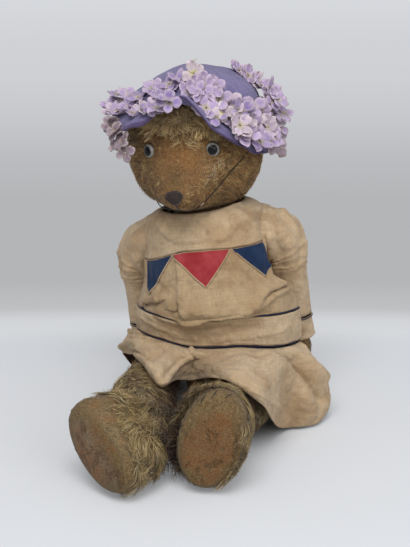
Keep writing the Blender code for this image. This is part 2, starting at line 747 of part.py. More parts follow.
def skirt_rings(top):
    """The skirt from belt to hem, draped over the thighs."""
    closed_hem = [(HEM[-1][0] - 360, *HEM[-1][1:]), *HEM, (360, *HEM[0][1:])]
    rings = []
    for row in range(SKIRT_ROWS):
        share = row / (SKIRT_ROWS - 1)
        ring = []
        for i in range(SKIRT_SIDES):
            degrees = 360.0 * i / SKIRT_SIDES
            turn = math.radians(degrees)
            waist = dress_point(turn, belt_height(top, turn), 0.0)
            hem = Vector(between(closed_hem, degrees))
            point = waist.lerp(hem, 1.0 - (1.0 - share) ** SPREAD)
            point.z = waist.z + (hem.z - waist.z) * share ** DRAPE
            puff = math.sin(math.pi * share)
            outward = Vector((math.sin(turn), -math.cos(turn), 0.0))
            fold = SKIRT_FOLD * math.cos(9.0 * turn + 1.2) * puff * share
            point += outward * (puff * SKIRT_PUFF + fold * 0.6)
            point.z += (SKIRT_PUFF * puff * share + fold * 0.5) * front_share(turn) ** 2
            ring.append(point)
        rings.append(ring)
    return rings


def pennant(name, corners, rest_lift):
    """A three-cornered cloth patch below the yoke's seam."""
    left, right, tip = (math.radians(corner) for corner in corners)
    rows = 3
    columns = 3
    grid = []
    for row in range(rows + 1):
        share = row / rows
        narrow = min(share, 0.97)
        line = []
        for column in range(columns + 1):
            across = column / columns
            top_turn = left + (right - left) * across
            turn = top_turn + (tip - top_turn) * narrow
            top = seam_height(turn) - CLOTH_GAP * 2.0
            height = top - PENNANT_DROP * share
            lift = CLOTH + gather(turn, BODICE_FOLD) + rest_lift
            line.append(dress_point(turn, height, lift))
        grid.append(line)
    colour = "red" if name.startswith("middle") else "blue"
    cloth(name, grid, colour, closed_loop=False, thickness=PENNANT_THICKNESS)


def tube(name, points, radius, colour, cyclic=False, resolution=0, parent=None):
    """A round cord through points."""
    curve = bpy.data.curves.new(name, "CURVE")
    curve.dimensions = "3D"
    curve.bevel_depth = radius
    curve.bevel_resolution = resolution
    curve.use_fill_caps = not cyclic
    curve.render_resolution_u = 0
    line = curve.splines.new("POLY")
    line.points.add(len(points) - 1)
    for target, point in zip(line.points, points):
        target.co = (*point, 1.0)
    line.use_cyclic_u = cyclic
    curve.materials.append(material(name, colour))
    made = bpy.data.objects.new(name, curve)
    PARTS.objects.link(made)
    made.parent = parent
    return made


def sleeve_ring(sign, row, splay, pucker=0.0, radius_step=0.0):
    """One section of a sleeve, in its shoulder's frame."""
    out, back, drop, tilt, radius = row
    tilt = math.radians(tilt)
    centre = Vector((out + splay * drop, back, -drop))
    up = Vector((math.sin(tilt), 0.0, math.cos(tilt)))
    ring = []
    for i in range(SLEEVE_SIDES):
        turn = 2.0 * math.pi * i / SLEEVE_SIDES
        reach = radius + radius_step + pucker * math.cos(SLEEVE_SIDES / 2.0 * turn)
        point = centre + up * reach * math.cos(turn) + Vector((0.0, 1.0, 0.0)) * reach * math.sin(turn)
        point.x *= sign
        ring.append(point)
    return ring if sign > 0 else list(reversed(ring))


def sleeve_pieces(side, sign, frame):
    """A gathered sleeve from armhole to cuff, and the cuff."""
    splay = ARM_SPLAY[side]
    end = SLEEVE_END[side]
    rows = [row for row in SLEEVE if row[2] < end - CUFF_LENGTH - 0.006]
    last_out, last_back, _, last_tilt, last_radius = SLEEVE[-1]
    seam = end - CUFF_LENGTH
    rows.append((last_out, last_back * seam / SLEEVE[-1][2], seam, last_tilt, CUFF_RADIUS + 0.0012))
    rings = [sleeve_ring(sign, row, splay, SLEEVE_PUCKER if index < 3 else 0.0)
             for index, row in enumerate(rows)]
    cloth(f"{side}_sleeve", rings, "linen", frame)
    cuff_rows = []
    for share in (0.0, 1.0):
        drop = seam + CLOTH_GAP + (end - seam - CLOTH_GAP) * share
        cuff_rows.append((last_out, last_back * drop / SLEEVE[-1][2], drop, last_tilt, CUFF_RADIUS))
    cloth(f"{side}_cuff", [sleeve_ring(sign, row, splay) for row in cuff_rows], "linen", frame)


def notch_share(turn):
    """1 in the middle of the brim's raised notch, 0 away from it."""
    away = math.remainder(turn - BRIM_NOTCH_TURN, 2.0 * math.pi)
    notch = math.exp(-((away / BRIM_NOTCH_WIDTH) ** 2))
    arch = math.exp(-((away / BRIM_ARCH_WIDTH) ** 2))
    return BRIM_NOTCH_SHARE * notch + (1.0 - BRIM_NOTCH_SHARE) * arch


def brim_edge(turn):
    """Height and radius of the brim's edge, raised in a notch at the front."""
    raised = notch_share(turn)
    height = -BRIM_SIDE_DROP + (BRIM_FRONT_RISE + BRIM_SIDE_DROP) * raised
    return height, BRIM_RADIUS + (BRIM_FRONT_RADIUS - BRIM_RADIUS) * raised


def hat_point(turn, along):
    """A point of the hat's upper side: along runs 0 at the brim's edge, 1 at the crown's foot."""
    height, radius = brim_edge(turn)
    foot_radius, foot_height = CROWN[-1]
    foot_height += CROWN_FRONT_RISE * notch_share(turn)
    bow = math.sin(math.pi * along) * BRIM_BOW
    reach = radius + (foot_radius - radius) * along
    return Vector((reach * math.sin(turn), -reach * math.cos(turn),
                   height + (foot_height - height) * along + bow))


def hat_facet(turn, along):
    """A point on the flat faces that the brim is made of."""
    edges = hat_turns()
    edges.append(edges[0] + 2.0 * math.pi)
    turn = edges[0] + (turn - edges[0]) % (2.0 * math.pi)
    column = next(i for i in range(HAT_SIDES) if turn <= edges[i + 1])
    row = next(i for i in range(len(BRIM_ROWS) - 1) if along >= BRIM_ROWS[i + 1])
    across = (turn - edges[column]) / (edges[column + 1] - edges[column])
    down = (BRIM_ROWS[row] - along) / (BRIM_ROWS[row] - BRIM_ROWS[row + 1])
    upper = hat_point(edges[column], BRIM_ROWS[row]).lerp(hat_point(edges[column + 1], BRIM_ROWS[row]), across)
    lower = hat_point(edges[column], BRIM_ROWS[row + 1]).lerp(
        hat_point(edges[column + 1], BRIM_ROWS[row + 1]), across)
    return upper.lerp(lower, down)


def hat_pieces(frame):
    """Crown and brim in one shell, with its flower sprays."""
    rings = []
    for radius, height in CROWN[:-1]:
        ring = []
        for turn in hat_turns():
            rise = CROWN_FRONT_RISE * notch_share(turn) * (1.0 - height / CROWN[0][1]) ** 2
            sideways = radius * math.sin(turn)
            slump = CROWN_SLUMP * smooth_step((-sideways - CROWN_SLUMP_START) / CROWN_SLUMP_SPAN)
            ring.append(Vector((sideways + CROWN_LEAN * height, -radius * math.cos(turn),
                                height * (1.0 - slump) + rise)))
        rings.append(ring)
    for along in BRIM_ROWS:
        rings.append([hat_point(turn, along) for turn in hat_turns()])
    bm = skin(rings, cap_start=True)
    hat = place("hat", mesh_of(bm, "hat"), "lavender", frame)
    thicken = hat.modifiers.new("Cloth", "SOLIDIFY")
    thicken.thickness = HAT_CLOTH
    thicken.offset = -1.0
    for index in range(FLORETS):
        turn = 2.0 * math.pi * (index + 0.5) / FLORETS
        high = index % 2 and notch_share(turn) < FLORET_NOTCH_LIMIT
        floret(f"floret_{index + 1:02d}", turn, FLORET_HIGH if high else FLORET_LOW, frame)
    return hat


def hat_turns():
    """Turns round the hat, closer together at the notch."""
    even = [2.0 * math.pi * i / HAT_SIDES for i in range(HAT_SIDES)]
    return [BRIM_NOTCH_TURN + turn - HAT_TURN_EASE * math.sin(turn) for turn in even]


def floret(name, turn, along, frame):
    """One artificial floret: a stem on the brim that opens into four petals."""
    chance = random.Random(name)
    foot = hat_facet(turn, along)
    slope = hat_facet(turn, along - 0.1) - foot
    sideways = hat_facet(turn + 0.05, along) - foot
    up = sideways.cross(slope).normalized()
    if up.z < 0.0:
        up = -up
    across = up.orthogonal().normalized()
    ahead = up.cross(across)
    spin = chance.uniform(0.0, 1.5)
    lifted = FLORET_LIFT + FLORET_NOTCH_LIFT * math.sqrt(notch_share(turn))

    def ring(height, radii, rise):
        points = []
        for petal in range(PETALS):
            middle = spin + 2.0 * math.pi * petal / PETALS
            for step, share, raised in ((-math.pi / PETALS, PETAL_NOTCH, 0.0),
                                        (-PETAL_SHOULDER, 1.0, rise), (PETAL_SHOULDER, 1.0, rise)):
                radius = radii * (share if rise else 1.0)
                aim = across * math.cos(middle + step) + ahead * math.sin(middle + step)
                points.append(foot + up * (height + raised) + aim * radius)
        return points

    bm = skin([ring(FLORET_SEAT, STEM_RADIUS, 0.0), ring(lifted - PETAL_THICKNESS, STEM_RADIUS, 0.0),
               ring(lifted, PETAL_REACH, PETAL_CUP),
               ring(lifted + PETAL_THICKNESS, PETAL_REACH, PETAL_CUP)], cap_start=True)
    bm.verts.ensure_lookup_table()
    rim = bm.verts[-3 * PETALS:]
    hub = bm.verts.new(foot + up * (lifted + PETAL_THICKNESS))
    for corner, following in zip(rim, rim[1:] + rim[:1]):
        bm.faces.new((corner, following, hub))
    bmesh.ops.recalc_face_normals(bm, faces=bm.faces)
    return place(name, mesh_of(bm, name), "petal", frame)


def elastic_points():
    """The elastic: from the brim down the left cheek, under the chin and up the right cheek."""
    aims = [
        (0.93, -0.34, 0.16), (0.90, -0.44, 0.01), (0.80, -0.58, -0.11), (0.67, -0.69, -0.24),
        (0.54, -0.75, -0.37), (0.41, -0.77, -0.49), (0.26, -0.75, -0.61), (0.02, -0.67, -0.74),
        (-0.25, -0.57, -0.78), (-0.50, -0.30, -0.81), (-0.70, 0.12, -0.70), (-0.82, 0.40, -0.40),
        (-0.86, 0.50, -0.08), (-0.86, 0.50, 0.16),
    ]
    table = [(float(i), *aim) for i, aim in enumerate(aims)]
    points = []
    for i in range(ELASTIC_STEPS + 1):
        aim = Vector(between(table, (len(aims) - 1) * i / ELASTIC_STEPS))
        point = head_point(aim, ELASTIC_SIDE_GAP + ELASTIC_RADIUS)
        point.z = max(point.z, ELASTIC_FLOOR)
        points.append(point)
    return points


for old in list(bpy.data.objects):
    bpy.data.objects.remove(old, do_unlink=True)
PARTS = collection("teddy_bear")
CUTTERS = collection("cutters")
SIDES = (("left", 1.0), ("right", -1.0))

JOINTS = {"neck": empty("neck_joint", lean((0.0, NECK_Y, NECK_HEIGHT)), LEAN)}
for SIDE, SIGN in SIDES:
    JOINTS[f"{SIDE}_shoulder"] = empty(
        f"{SIDE}_shoulder_joint", lean((SIGN * SHOULDER_FACE, SHOULDER_Y, SHOULDER_HEIGHT)), LEAN)
    JOINTS[f"{SIDE}_hip"] = empty(f"{SIDE}_hip_joint", hip_place(SIGN))

TORSO_PART = torso_form()
HEAD_PART = head_form(JOINTS["neck"])
for SIDE, SIGN in SIDES:
    MIRROR = Vector((SIGN, 1.0, 1.0))
    set_in_head(f"{SIDE}_eye", Vector((EYE_RADIUS, EYE_RADIUS * 0.7, EYE_RADIUS)), EYE_AIM * MIRROR,
                EYE_RADIUS * EYE_SINK, "glass", HEAD_PART, JOINTS["neck"], roughness=0.1)
    set_in_head(f"{SIDE}_ear", EAR_HALF, EAR_AIM * MIRROR, EAR_SINK, "mohair", HEAD_PART, JOINTS["neck"])
    LIMB = arm_form(SIDE, SIGN, JOINTS[f"{SIDE}_shoulder"])
    OUTWARD = Vector((SIGN, 0.0, 0.0))
    disc_joint(f"{SIDE}_arm", ARM_DISC_RADIUS, JOINTS[f"{SIDE}_shoulder"], TORSO_PART, LIMB, OUTWARD)
    sleeve_pieces(SIDE, SIGN, JOINTS[f"{SIDE}_shoulder"])
    LIMB = leg_form(SIDE, SIGN, JOINTS[f"{SIDE}_hip"])
    disc_joint(f"{SIDE}_leg", LEG_DISC_RADIUS, JOINTS[f"{SIDE}_hip"], TORSO_PART, LIMB, OUTWARD)
set_in_head("nose", NOSE_HALF, NOSE_AIM, NOSE_SINK, "wool", HEAD_PART, JOINTS["neck"])
disc_joint("head", LEG_DISC_RADIUS, JOINTS["neck"], TORSO_PART, HEAD_PART, Vector((0.0, 0.0, 1.0)))
dress_pieces()
HAT_FRAME = empty("hat_frame", HAT_PLACE, -HAT_ROLL)
hat_pieces(HAT_FRAME)
tube("chin_elastic", elastic_points(), ELASTIC_RADIUS, "wool", resolution=0, parent=JOINTS["neck"])
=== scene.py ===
"""Looks of the threadbare teddy bear: mohair, glass, linen, cloth flowers and soft light.

The bear faces -Y and +X is its own left side, in metres. Forms are drawn upright and
lean() bends them into place, as in the model's source.
"""
import math
import random

import bpy
import numpy as np
from mathutils import Matrix, Vector, noise
from mathutils.kdtree import KDTree


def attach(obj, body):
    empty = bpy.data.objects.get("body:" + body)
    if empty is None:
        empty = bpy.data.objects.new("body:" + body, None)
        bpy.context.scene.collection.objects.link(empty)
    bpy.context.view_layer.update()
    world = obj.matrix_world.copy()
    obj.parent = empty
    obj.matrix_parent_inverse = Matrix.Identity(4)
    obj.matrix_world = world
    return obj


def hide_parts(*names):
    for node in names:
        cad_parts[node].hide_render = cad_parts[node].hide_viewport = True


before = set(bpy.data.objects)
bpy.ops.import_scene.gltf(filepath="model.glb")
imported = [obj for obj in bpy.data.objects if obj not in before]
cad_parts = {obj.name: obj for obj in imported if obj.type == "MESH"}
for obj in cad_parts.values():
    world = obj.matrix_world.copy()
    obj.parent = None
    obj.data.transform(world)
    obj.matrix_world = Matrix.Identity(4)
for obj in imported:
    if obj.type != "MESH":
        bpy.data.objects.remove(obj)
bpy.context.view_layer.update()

# The photograph's camera
TARGET = Vector((-0.0165, -0.0041, 0.148))
CAMERA_TURN = math.radians(14.0)
CAMERA_RISE = math.radians(17.0)
CAMERA_DISTANCE = 1.10
FILM = 36.0
FOCAL_PIXELS = 1040.0
PHOTO_HEIGHT = 547.0

# Clearances and cloth
GAP = 0.0004
CLOTH = 0.0012
CLOTH_GAP = 0.0005

# How the seated bear leans
LEAN = math.radians(8.0)
BEND_START = 0.05
BEND_LENGTH = 0.08

# Neck joint
NECK_HEIGHT = 0.2245
NECK_Y = 0.002

# Torso: height, half width, half depth, centre y
TORSO = [
    (0.000, 0.025, 0.027, 0.004), (0.004, 0.0305, 0.036, 0.003), (0.020, 0.0350, 0.046, 0.000),
    (0.050, 0.0375, 0.053, -0.005), (0.080, 0.045, 0.057, -0.010), (0.110, 0.0485, 0.058, -0.011),
    (0.170, 0.0495, 0.047, -0.005), (0.192, 0.0490, 0.041, 0.000),
    (NECK_HEIGHT - 0.0135, 0.0400, 0.035, 0.002), (NECK_HEIGHT - 0.0030, 0.0300, 0.029, 0.002),
    (NECK_HEIGHT, 0.0250, 0.025, 0.002),
]

# Joints
SHOULDER_HEIGHT = 0.188
SHOULDER_Y = 0.010
SHOULDER_FACE = 0.0480
SHOULDER_SEAT_RADIUS = 0.030
HIP_HEIGHT = 0.046
HIP_Y = 0.008
HIP_FACE = 0.034
HIP_SEAT_RADIUS = 0.049

# Head, from the neck joint upwards
HEAD_CENTRE = Vector((0.0, -0.006, 0.0605))
HEAD_HALF = Vector((0.068, 0.060, 0.060))
HEAD_LOWER_HALF_HEIGHT = 0.070
HEAD_ROLL = math.radians(4.0)
MUZZLE_AIM = Vector((0.0, -0.93, -0.37))
MUZZLE_LENGTH = 0.034
MUZZLE_SPREAD = 0.40
EYE_RADIUS = 0.0074
EYE_AIM = Vector((0.47, -0.84, 0.10))
EYE_SINK = 0.35
EAR_HALF = Vector((0.0150, 0.0055, 0.0230))
EAR_AIM = Vector((0.95, 0.14, 0.31))
EAR_SINK = 0.0025
NOSE_SINK = 0.0020
NOSE_HALF = Vector((0.0085, 0.0050, 0.0072))
NOSE_AIM = Vector((0.0, -0.945, -0.31))

# Arms, from the shoulder: drop, outward step, backward step, half width, half depth
ARM = [
    (-0.0220, 0.0000, 0.000, 0.0085, 0.0095), (-0.0145, 0.0000, 0.000, 0.0170, 0.0185),
    (0.0080, 0.0015, 0.002, 0.0190, 0.0215), (0.0220, 0.0070, 0.006, 0.0165, 0.0190),
    (0.0360, 0.0070, 0.0122, 0.0152, 0.0172), (0.1000, 0.0066, 0.0340, 0.0142, 0.0155),
    (0.1300, 0.0066, 0.0435, 0.0140, 0.0152), (0.1500, 0.0066, 0.0470, 0.0134, 0.0146),
    (0.1620, 0.0066, 0.0485, 0.0098, 0.0118), (0.1665, 0.0066, 0.0485, 0.0042, 0.0057),
]
ARM_THICKNESS = 0.0380
ARM_SPLAY = {"left": -0.03, "right": 0.15}
PAW_PAD_DROP = 0.146
PAW_PAD_HALF = Vector((0.0090, 0.0030, 0.0120))

# Legs, from the hip: forward reach, half width, half height, share of the way to the foot
LEG = [
    (-0.0190, 0.0090, 0.0100, 0.00), (-0.0150, 0.0160, 0.0175, 0.00), (-0.0070, 0.0210, 0.0240, 0.00),
    (0.0100, 0.0225, 0.0255, 0.05), (0.0480, 0.0230, 0.0262, 0.26), (0.0900, 0.0245, 0.0275, 0.55),
    (0.1220, 0.0275, 0.0325, 0.82), (0.1400, 0.0300, 0.0400, 0.93), (0.1560, 0.0312, 0.0450, 0.98),
    (0.1730, 0.0312, 0.0475, 1.00), (0.1815, 0.0302, 0.0460, 1.00), (0.1870, 0.0272, 0.0425, 1.00),
]
LEG_THICKNESS = 0.0450
FOOT_LENGTH_LEAN = {"left": math.radians(14.0), "right": math.radians(-47.0)}
FOOT_TURN = {"left": math.radians(6.0), "right": math.radians(-27.0)}
FOOT_PITCH = {"left": math.radians(6.0), "right": math.radians(1.0)}
FOOT_CENTRE = {
    "left": Vector((0.0365, -0.190, 0.0490)),
    "right": Vector((-0.0587, -0.2160, 0.0436)),
}
FOOT_TURN_START = 0.090
FOOT_TURN_END = 0.150
SOLE_STEP = 0.009
PAD_WIDTH_SHARE = 0.90
PAD_HEIGHT_SHARE = 0.85
PAD_DROP = 0.0055

# Dress: height, front half width, front half depth, back half width, back half depth
DRESS = [
    (0.080, 0.0865, 0.0760, 0.0470, 0.054), (0.095, 0.0875, 0.0775, 0.0480, 0.054),
    (0.112, 0.0870, 0.0785, 0.0485, 0.053), (0.126, 0.0830, 0.0860, 0.0495, 0.053),
    (0.140, 0.0770, 0.0830, 0.0505, 0.053), (0.155, 0.0715, 0.0760, 0.0510, 0.052),
    (0.172, 0.0690, 0.0690, 0.0540, 0.050), (0.190, 0.0665, 0.0620, 0.0610, 0.048),
    (0.205, 0.0640, 0.0575, 0.0620, 0.046), (0.2150, 0.0600, 0.0535, 0.0595, 0.044),
    (0.2205, 0.0530, 0.0505, 0.0525, 0.043), (0.2240, 0.0430, 0.0475, 0.0420, 0.041),
]
FLARE_FADE = math.radians(14.0)
FLARE_END = [(0.118, math.radians(102.0)), (0.150, math.radians(80.0))]
BELT_BOTTOM = 0.0840
BELT_TOP = 0.1120
BELT_FRONT_RISE = 0.0110
BELT_RIGHT_RISE = 0.0050
BELT_LEFT_DROP = 0.0100
BELT_LIFT = 0.0004
YOKE_SEAM = 0.190
YOKE_SEAM_RIGHT_DIP = 0.013
YOKE_SEAM_LEFT_DIP = 0.004
ARMHOLE_RADIUS = 0.0272
ARMHOLE_INSET = 0.002
PIPING_RADIUS = 0.0009
GATHERS = 11
BODICE_FOLD = 0.0022

# Skirt hem: turn in degrees from the front towards the bear's left, then x, y, z
HEM = [
    (0, -0.012, -0.081, 0.058), (12, 0.003, -0.092, 0.066), (22, 0.022, -0.120, 0.080),
    (34, 0.046, -0.146, 0.088), (46, 0.072, -0.140, 0.067), (57, 0.0765, -0.108, 0.036),
    (66, 0.0770, -0.072, 0.012), (74, 0.084, -0.052, 0.0035), (82, 0.099, -0.044, 0.0035),
    (90, 0.113, -0.030, 0.0035), (98, 0.120, -0.008, 0.014), (106, 0.110, 0.002, 0.012),
    (116, 0.091, 0.013, 0.006), (126, 0.080, 0.030, 0.0035), (140, 0.060, 0.045, 0.0035),
    (155, 0.042, 0.068, 0.0035), (172, 0.016, 0.090, 0.0035), (190, -0.026, 0.090, 0.0035),
    (206, -0.052, 0.068, 0.0035), (220, -0.062, 0.042, 0.0035), (234, -0.080, 0.027, 0.0035),
    (245, -0.092, 0.012, 0.012), (254, -0.104, -0.001, 0.038), (264, -0.104, -0.018, 0.055),
    (276, -0.090, -0.036, 0.062), (288, -0.078, -0.062, 0.072), (306, -0.054, -0.103, 0.079),
    (326, -0.026, -0.143, 0.0765), (345, -0.022, -0.102, 0.066),
]
SKIRT_FOLD = 0.0022
SKIRT_PUFF = 0.0030
DRAPE = 1.8
SPREAD = 2.2

# Sleeves, from the shoulder: centre out, back, drop, section tilt in degrees, radius
SLEEVE = [
    (0.0030, 0.000, 0.0000, 0.0, 0.0286), (0.0141, 0.000, 0.0002, 12.0, 0.0291),
    (0.0222, 0.002, 0.0061, 32.0, 0.0272), (0.0278, 0.006, 0.0185, 56.0, 0.0244),
    (0.0278, 0.011, 0.0340, 81.0, 0.0212), (0.0266, 0.0185, 0.0550, 90.0, 0.0194),
    (0.0262, 0.0360, 0.1060, 90.0, 0.0188),
]
SLEEVE_END = {"left": 0.132, "right": 0.128}
CUFF_LENGTH = 0.026
CUFF_RADIUS = 0.0186

# Pennants: turn of the left corner, of the right corner and of the tip, in degrees
PENNANTS = {
    "right": (-55.0, -20.0, -42.0),
    "middle": (-18.0, 32.0, 9.0),
    "left": (34.0, 66.0, 59.0),
}
PENNANT_DROP = 0.033
PENNANT_LIFT = {"right": 0.0009, "middle": 0.0013, "left": 0.0007}
PENNANT_THICKNESS = 0.0007

# Hat, in its own frame at the foot of the crown
HAT_PLACE = Vector((-0.0290, -0.004, 0.3180))
HAT_ROLL = math.radians(6.0)
HAT_CLOTH = 0.0014
CROWN = [(0.0, 0.0482), (0.010, 0.0480), (0.034, 0.0440), (0.053, 0.0330), (0.065, 0.0160), (0.0685, 0.0)]
BRIM_RADIUS = 0.0890
BRIM_SIDE_DROP = 0.0260
BRIM_FRONT_RISE = 0.0270
BRIM_NOTCH_WIDTH = math.radians(13.0)
BRIM_ARCH_WIDTH = math.radians(36.0)
BRIM_NOTCH_SHARE = 0.30
BRIM_NOTCH_TURN = math.radians(6.0)
BRIM_FRONT_RADIUS = 0.0840
BRIM_BOW = 0.0040
CROWN_FRONT_RISE = 0.0190
CROWN_LEAN = 0.16
CROWN_SLUMP = 0.28
CROWN_SLUMP_START = 0.018
CROWN_SLUMP_SPAN = 0.045
FLORETS = 12

# Elastic under the chin
ELASTIC_SIDE_GAP = 0.0012
ELASTIC_FLOOR = 0.004
ELASTIC_AIMS = [
    (0.93, -0.34, 0.16), (0.90, -0.44, 0.01), (0.80, -0.58, -0.11), (0.67, -0.69, -0.24),
    (0.54, -0.75, -0.37), (0.41, -0.77, -0.49), (0.26, -0.75, -0.61), (0.02, -0.67, -0.74),
    (-0.25, -0.57, -0.78), (-0.50, -0.30, -0.81), (-0.70, 0.12, -0.70), (-0.82, 0.40, -0.40),
    (-0.86, 0.50, -0.08), (-0.86, 0.50, 0.16),
]

SIDES = (("left", 1.0), ("right", -1.0))
UP = Vector((0.0, 0.0, 1.0))
MILLIMETRE = 0.001


# Forms

def smooth_step(value):
    """Ease from 0 to 1."""
    value = min(max(value, 0.0), 1.0)
    return value * value * (3.0 - 2.0 * value)


def full_turns(count):
    """Even turns all the way round."""
    return [math.tau * i / count for i in range(count)]


def shares(count):
    """Even steps from 0 to 1."""
    return [i / count for i in range(count + 1)]


def outward(turn):
    """The level direction at a turn from the front towards the bear's left."""
    return Vector((math.sin(turn), -math.cos(turn), 0.0))


def between(stations, at):
    """Values of a table of stations at a place along it, on a smooth curve."""
    last = len(stations) - 1
    at = min(max(at, stations[0][0]), stations[last][0])
    index = next(i for i in range(last) if at <= stations[i + 1][0])
    before, start = stations[max(index - 1, 0)], stations[index]
    end, after = stations[index + 1], stations[min(index + 2, last)]
    span = end[0] - start[0]
    share = (at - start[0]) / span
    cube, square = share ** 3, share ** 2
    values = []
    for column in range(1, len(start)):
        rise = end[column] - start[column]
        slope_in = rise if index == 0 else span * (end[column] - before[column]) / (end[0] - before[0])
        slope_out = rise
        if index + 1 < last:
            slope_out = span * (after[column] - start[column]) / (after[0] - start[0])
        values.append((2 * cube - 3 * square + 1) * start[column] + (cube - 2 * square + share) * slope_in
                      + (3 * square - 2 * cube) * end[column] + (cube - square) * slope_out)
    return values


def lean(point):
    """Bend an upright point into the leaning bear."""
    x, y, height = point
    along = min(max(height - BEND_START, 0.0), BEND_LENGTH)
    angle = LEAN * along / BEND_LENGTH
    bend_radius = BEND_LENGTH / LEAN
    past = height - BEND_START - along
    centre_x = -bend_radius * (1.0 - math.cos(angle)) - past * math.sin(angle)
    centre_z = BEND_START + bend_radius * math.sin(angle) + past * math.cos(angle)
    if height < BEND_START:
        centre_x, centre_z = 0.0, height
    return Vector((centre_x + x * math.cos(angle), y, centre_z + x * math.sin(angle)))


def head_point(aim, lift=0.0):
    """A point of the head's surface in a direction from its centre, in the neck frame."""
    aim = aim.normalized()
    half_height = HEAD_HALF.z if aim.z > 0.0 else HEAD_LOWER_HALF_HEIGHT
    point = Vector((aim.x * HEAD_HALF.x, aim.y * HEAD_HALF.y, aim.z * half_height))
    muzzle = MUZZLE_AIM.normalized()
    away = aim.angle(muzzle)
    point += muzzle * MUZZLE_LENGTH * math.exp(-((away / MUZZLE_SPREAD) ** 2))
    point += aim * lift
    return HEAD_CENTRE + Matrix.Rotation(HEAD_ROLL, 3, "Y") @ point


def foot_frame(side):
    """The axes of a foot: across the sole, up the sole and out of it."""
    turn = Matrix.Rotation(FOOT_TURN[side], 3, "Z")
    pitch = Matrix.Rotation(-FOOT_PITCH[side], 3, "X")
    spin = Matrix.Rotation(FOOT_LENGTH_LEAN[side], 3, "Y")
    axes = turn @ pitch @ spin
    return axes @ Vector((1.0, 0.0, 0.0)), axes @ Vector((0.0, 0.0, 1.0)), axes @ Vector((0.0, -1.0, 0.0))


def hip_place(sign):
    """Where a leg's inner face lies on the torso."""
    return Vector((sign * HIP_FACE, HIP_Y, HIP_HEIGHT))


def leg_axes(side, sign, reach, share):
    """A leg section's centre, its sideways and upward steps, and its forward direction."""
    hip = hip_place(sign) + Vector((sign * (LEG_THICKNESS / 2.0 + GAP), 0.0, 0.0))
    across, up, out = foot_frame(side)
    turned_share = smooth_step((reach - FOOT_TURN_START) / (FOOT_TURN_END - FOOT_TURN_START))
    foot_end = LEG[-1][0]
    straight = hip.lerp(FOOT_CENTRE[side], share)
    straight.y = hip.y - reach * (hip.y - FOOT_CENTRE[side].y) / (foot_end - SOLE_STEP)
    foot = FOOT_CENTRE[side] + out * (reach - foot_end + SOLE_STEP)
    centre = straight.lerp(foot, turned_share)
    side_step = Vector((1.0, 0.0, 0.0)).lerp(across, turned_share).normalized()
    up_step = Vector((0.0, 0.0, 1.0)).lerp(up, turned_share).normalized()
    return centre, side_step, up_step, out


def leg_ring(side, sign, row, columns, lift=0.0, scale=1.0):
    """One section of a leg."""
    reach, width, height, share = row
    centre, side_step, up_step, out = leg_axes(side, sign, reach, share)
    centre += out * lift
    return [centre + side_step * width * scale * math.cos(turn) + up_step * height * scale * math.sin(turn)
            for turn in full_turns(columns)]


def ellipse_radius(width, depth, turn):
    """Distance from an ellipse's centre to its edge, turn from the depth axis."""
    return 1.0 / math.hypot(math.cos(turn) / depth, math.sin(turn) / width)


def dress_upright(turn, height, lift=0.0):
    """A point of the upright dress: turn is from the front towards the bear's left."""
    front_width, front_depth, back_width, back_depth = between(DRESS, height)
    size = abs(math.remainder(turn, math.tau))
    front_radius = ellipse_radius(front_width, front_depth, size)
    back_radius = ellipse_radius(back_width, back_depth, size)
    flare_end = between(FLARE_END, height)[0]
    share = smooth_step((size - flare_end + FLARE_FADE) / FLARE_FADE)
    radius = front_radius + (back_radius - front_radius) * share + lift
    return Vector((radius * math.sin(turn), -radius * math.cos(turn), height))


def seam_height(turn):
    """The yoke's lower seam: lower on the bear's right."""
    right_dip = YOKE_SEAM_RIGHT_DIP * smooth_step((-math.sin(turn) - 0.1) / 0.9)
    left_dip = YOKE_SEAM_LEFT_DIP * smooth_step((math.sin(turn) - 0.1) / 0.9)
    return YOKE_SEAM - right_dip - left_dip


def front_share(turn):
    """1 at the front of the dress, 0 at its back."""
    return smooth_step(0.5 + 0.75 * math.cos(turn))


def belt_height(base, turn):
    """A height on the belt, which rides up over the lap and sags on the bear's left."""
    sag = BELT_LEFT_DROP * smooth_step((math.sin(turn) - 0.4) / 0.6)
    tilt = BELT_RIGHT_RISE * smooth_step((-math.sin(turn) - 0.1) / 0.5)
    return base + (BELT_FRONT_RISE + tilt) * front_share(turn) - sag


def notch_share(turn):
    """1 in the middle of the brim's raised notch, 0 away from it. Takes a number or an array."""
    away = np.remainder(turn - BRIM_NOTCH_TURN + math.pi, math.tau) - math.pi
    notch = np.exp(-((away / BRIM_NOTCH_WIDTH) ** 2))
    arch = np.exp(-((away / BRIM_ARCH_WIDTH) ** 2))
    return BRIM_NOTCH_SHARE * notch + (1.0 - BRIM_NOTCH_SHARE) * arch


def brim_edge(raised):
    """The radius and height of the brim's edge where it is raised by a share."""
    return (BRIM_RADIUS + (BRIM_FRONT_RADIUS - BRIM_RADIUS) * raised,
            -BRIM_SIDE_DROP + (BRIM_FRONT_RISE + BRIM_SIDE_DROP) * raised)


def crown_foot(raised):
    """The radius and height of the crown's foot where the brim is raised by a share."""
    foot_radius, foot_height = CROWN[-1]
    return foot_radius, foot_height + CROWN_FRONT_RISE * raised


def hat_point(turn, along):
    """A point of the brim: along runs 0 at the edge, 1 at the crown's foot."""
    raised = notch_share(turn)
    radius, height = brim_edge(raised)
    foot_radius, foot_height = crown_foot(raised)
    bow = math.sin(math.pi * along) * BRIM_BOW
    reach = radius + (foot_radius - radius) * along
    return outward(turn) * reach + UP * (height + (foot_height - height) * along + bow)


